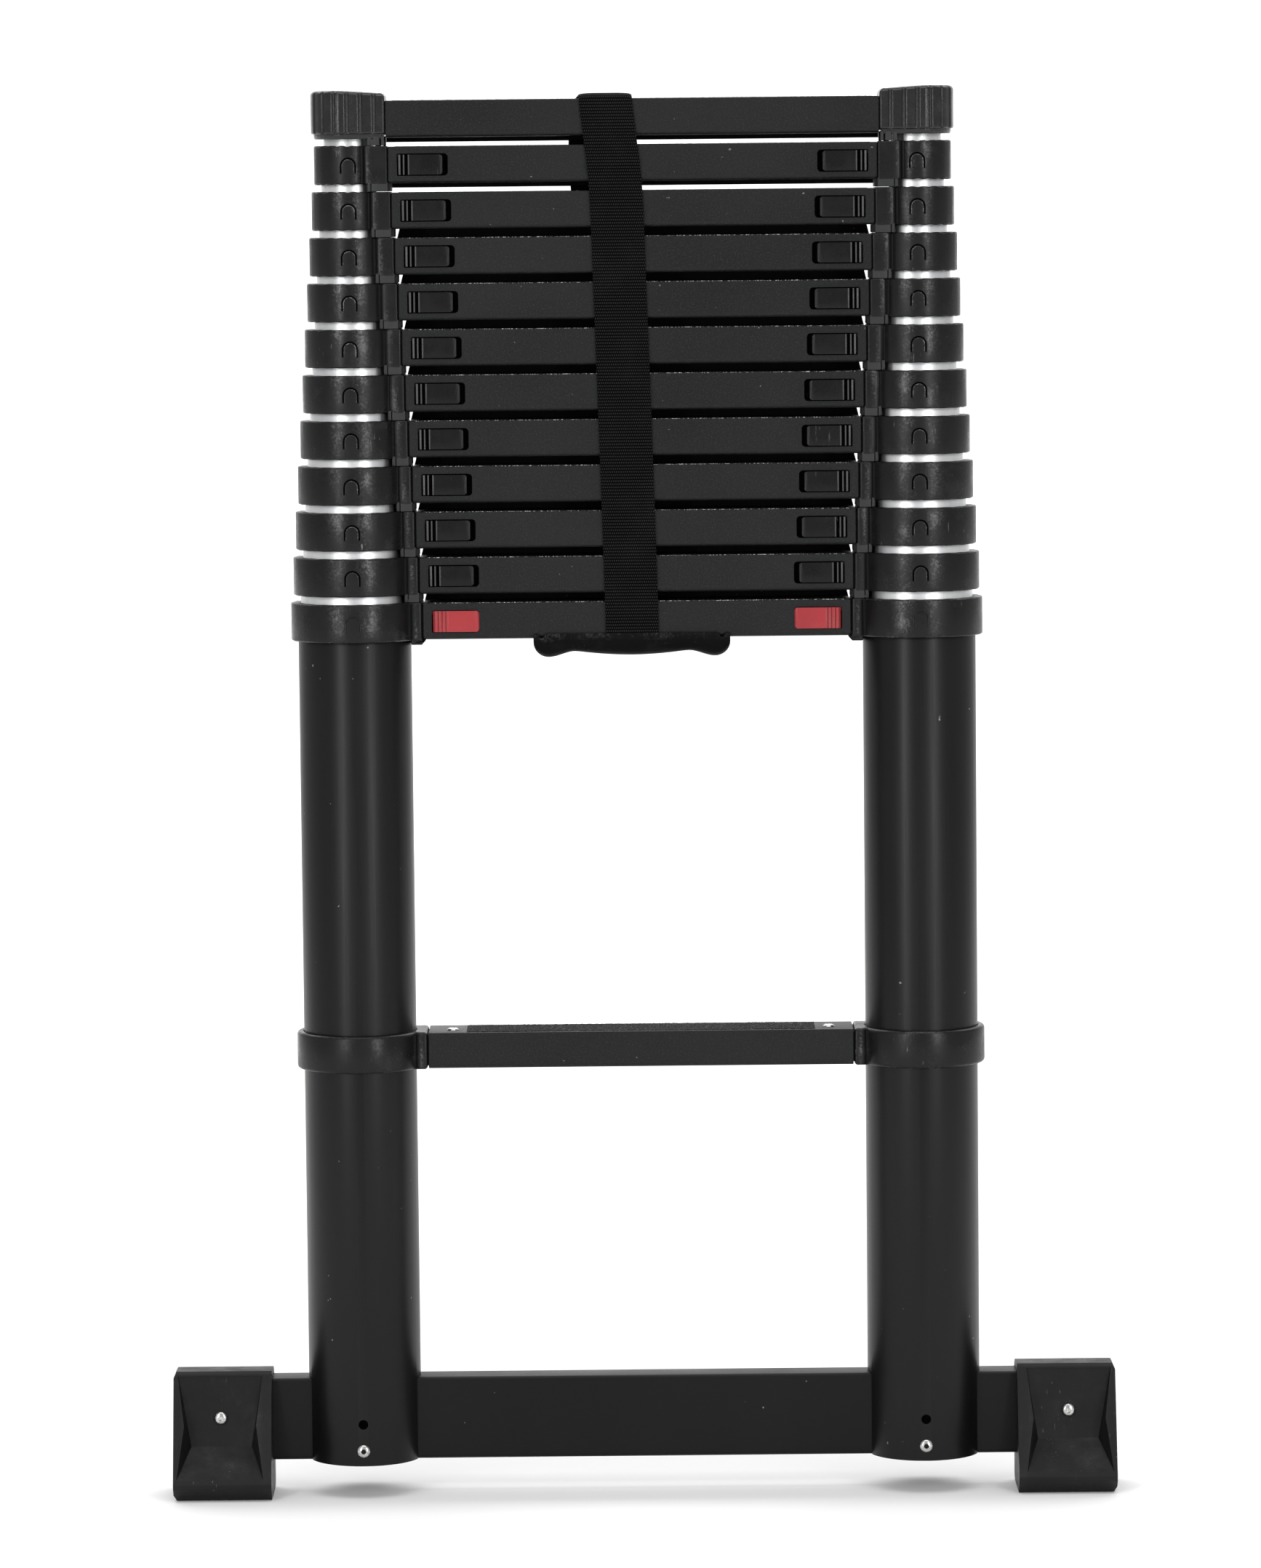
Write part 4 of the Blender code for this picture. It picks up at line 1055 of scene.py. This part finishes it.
out_v /= np.linalg.norm(out_v, axis=1, keepdims=True)
cols = 26
verts, uvs = [], []
for layer in (1, -1):
    for i in range(len(soft)):
        rib = abs(sin(pi * t[i] / 2.05)) ** 0.7
        for j in range(cols + 1):
            w = -1 + 2 * j / cols
            edge = 1 - 0.45 * max(0, abs(w) - 0.93) / 0.07
            th = (STRAP_T / 2 - 0.16 + 0.16 * rib) * edge
            p = soft[i] + np.array([w * STRAP_W / 2, 0, 0]) + out_v[i] * th * layer
            if soft[i][2] > z_top - 1:                      # the bend is tighter at the selvedges
                p[2] -= min(1.0, (soft[i][2] - z_top + 1) / 2.0) * 0.9 * abs(w) ** 5
            elif soft[i][1] < 0:                             # one soft crease, and slight waves
                p[1] -= 1.3 * np.exp(-((soft[i][2] - 897.5 - 1.6 * w) / 2.0) ** 2) + 0.22 * (1 + sin(soft[i][2] / 17.0 + 1.3 * w))
            verts.append(tuple(p))
            uvs.append(((w + 1) / 2 * STRAP_W * MM, t[i] * MM))
rows_n, cn = len(soft), cols + 1
faces = []
for layer in (0, 1):
    o = layer * rows_n * cn
    for i in range(rows_n - 1):
        for j in range(cols):
            q = (o + i * cn + j, o + i * cn + j + 1, o + (i + 1) * cn + j + 1, o + (i + 1) * cn + j)
            faces.append(q if layer else q[::-1])
o = rows_n * cn
for i in range(rows_n - 1):
    faces.append((i * cn, (i + 1) * cn, o + (i + 1) * cn, o + i * cn))
    faces.append(((i + 1) * cn + cols, i * cn + cols, o + i * cn + cols, o + (i + 1) * cn + cols))
for j in range(cols):
    faces.append((j + 1, j, o + j, o + j + 1))
    e = (rows_n - 1) * cn
    faces.append((e + j, e + j + 1, o + e + j + 1, o + e + j))
mesh = bpy.data.meshes.new("closing_strap")
mesh.from_pydata([(x * MM, y * MM, zz * MM) for x, y, zz in verts], [], faces)
layer = mesh.uv_layers.new(name="cloth")
idx = np.zeros(len(mesh.loops), np.int32)
mesh.loops.foreach_get("vertex_index", idx)
layer.data.foreach_set("uv", np.array(uvs, np.float32)[idx].ravel())
mesh.materials.append(M_WEB)
b = bmesh.new()
b.from_mesh(mesh)
bmesh.ops.recalc_face_normals(b, faces=b.faces)
b.to_mesh(mesh)
b.free()
mesh.shade_smooth()
mesh.set_sharp_from_angle(angle=radians(60))
strap = bpy.data.objects.new("closing_strap", mesh)
bpy.context.scene.collection.objects.link(strap)
fit_out(strap, "strap", "webbing", "strap")

# ------------------------------------------------------------ studio
stage = []
pts = [(-7.0, 0.0)] + [(5.6 + 1.4 * sin(g), 1.4 - 1.4 * cos(g)) for g in np.linspace(0, pi / 2, 20)] + [(7.0, 6.0)]
verts = [(x, y, zz - 0.0002) for x in (-8, 8) for y, zz in pts]
q = len(pts)
mesh = bpy.data.meshes.new("studio_sweep")
mesh.from_pydata(verts, [], [(i, i + 1, q + i + 1, q + i) for i in range(q - 1)])
mesh.shade_smooth()
sweep = bpy.data.objects.new("studio_sweep", mesh)
bpy.context.scene.collection.objects.link(sweep)
m, t_, sh = new_material("studio_paper", (0.90, 0.90, 0.90), 0.9, spec=0.1)
paper = noise(t_, coords(t_), 2.0, 3, 0.5)
t_.links.new(mix_colour(t_, paper, (0.89, 0.89, 0.89), (0.91, 0.91, 0.91)), sh.inputs["Base Color"])
mesh.materials.append(m)

world = bpy.data.worlds.new("studio")
bpy.context.scene.world = world
world.use_nodes = True
world.node_tree.nodes["Background"].inputs["Color"].default_value = (1, 1, 1, 1)
world.node_tree.nodes["Background"].inputs["Strength"].default_value = 0.62


def softbox(name, place, target, size, power):
    data = bpy.data.lights.new(name, "AREA")
    data.shape, data.size, data.size_y, data.energy = "RECTANGLE", size[0], size[1], power
    obj = bpy.data.objects.new(name, data)
    obj.location = place
    obj.rotation_euler = (Vector(target) - Vector(place)).to_track_quat("-Z", "Y").to_euler()
    bpy.context.scene.collection.objects.link(obj)
    return obj


softbox("soft_left", (-1.45, -2.5, 1.0), (0, 0, 0.5), (0.35, 2.2), 24)
softbox("soft_right", (1.45, -2.5, 1.0), (0, 0, 0.5), (0.35, 2.2), 24)
softbox("soft_top", (0, -0.9, 2.9), (0, 0.2, 0.4), (2.4, 1.2), 24)
softbox("backdrop_wash", (0, 3.4, 4.6), (0, 4.4, 0.0), (9.0, 4.0), 320)

cam_data = bpy.data.cameras.new("camera")
cam = bpy.data.objects.new("camera", cam_data)
bpy.context.scene.collection.objects.link(cam)
cam_data.lens, cam_data.sensor_width, cam_data.sensor_fit = 9000 / 2156 * 36, 36, "AUTO"
cam_data.clip_start, cam_data.clip_end = 0.1, 60
cam.matrix_world = Matrix.Translation((-0.0054, -4.40, 0.878)) @ Matrix.Rotation(radians(90 - 5.16), 4, "X") @ Matrix.Rotation(radians(-0.567), 4, "Z")
bpy.context.scene.camera = cam
bpy.context.scene.view_settings.view_transform = "Standard"
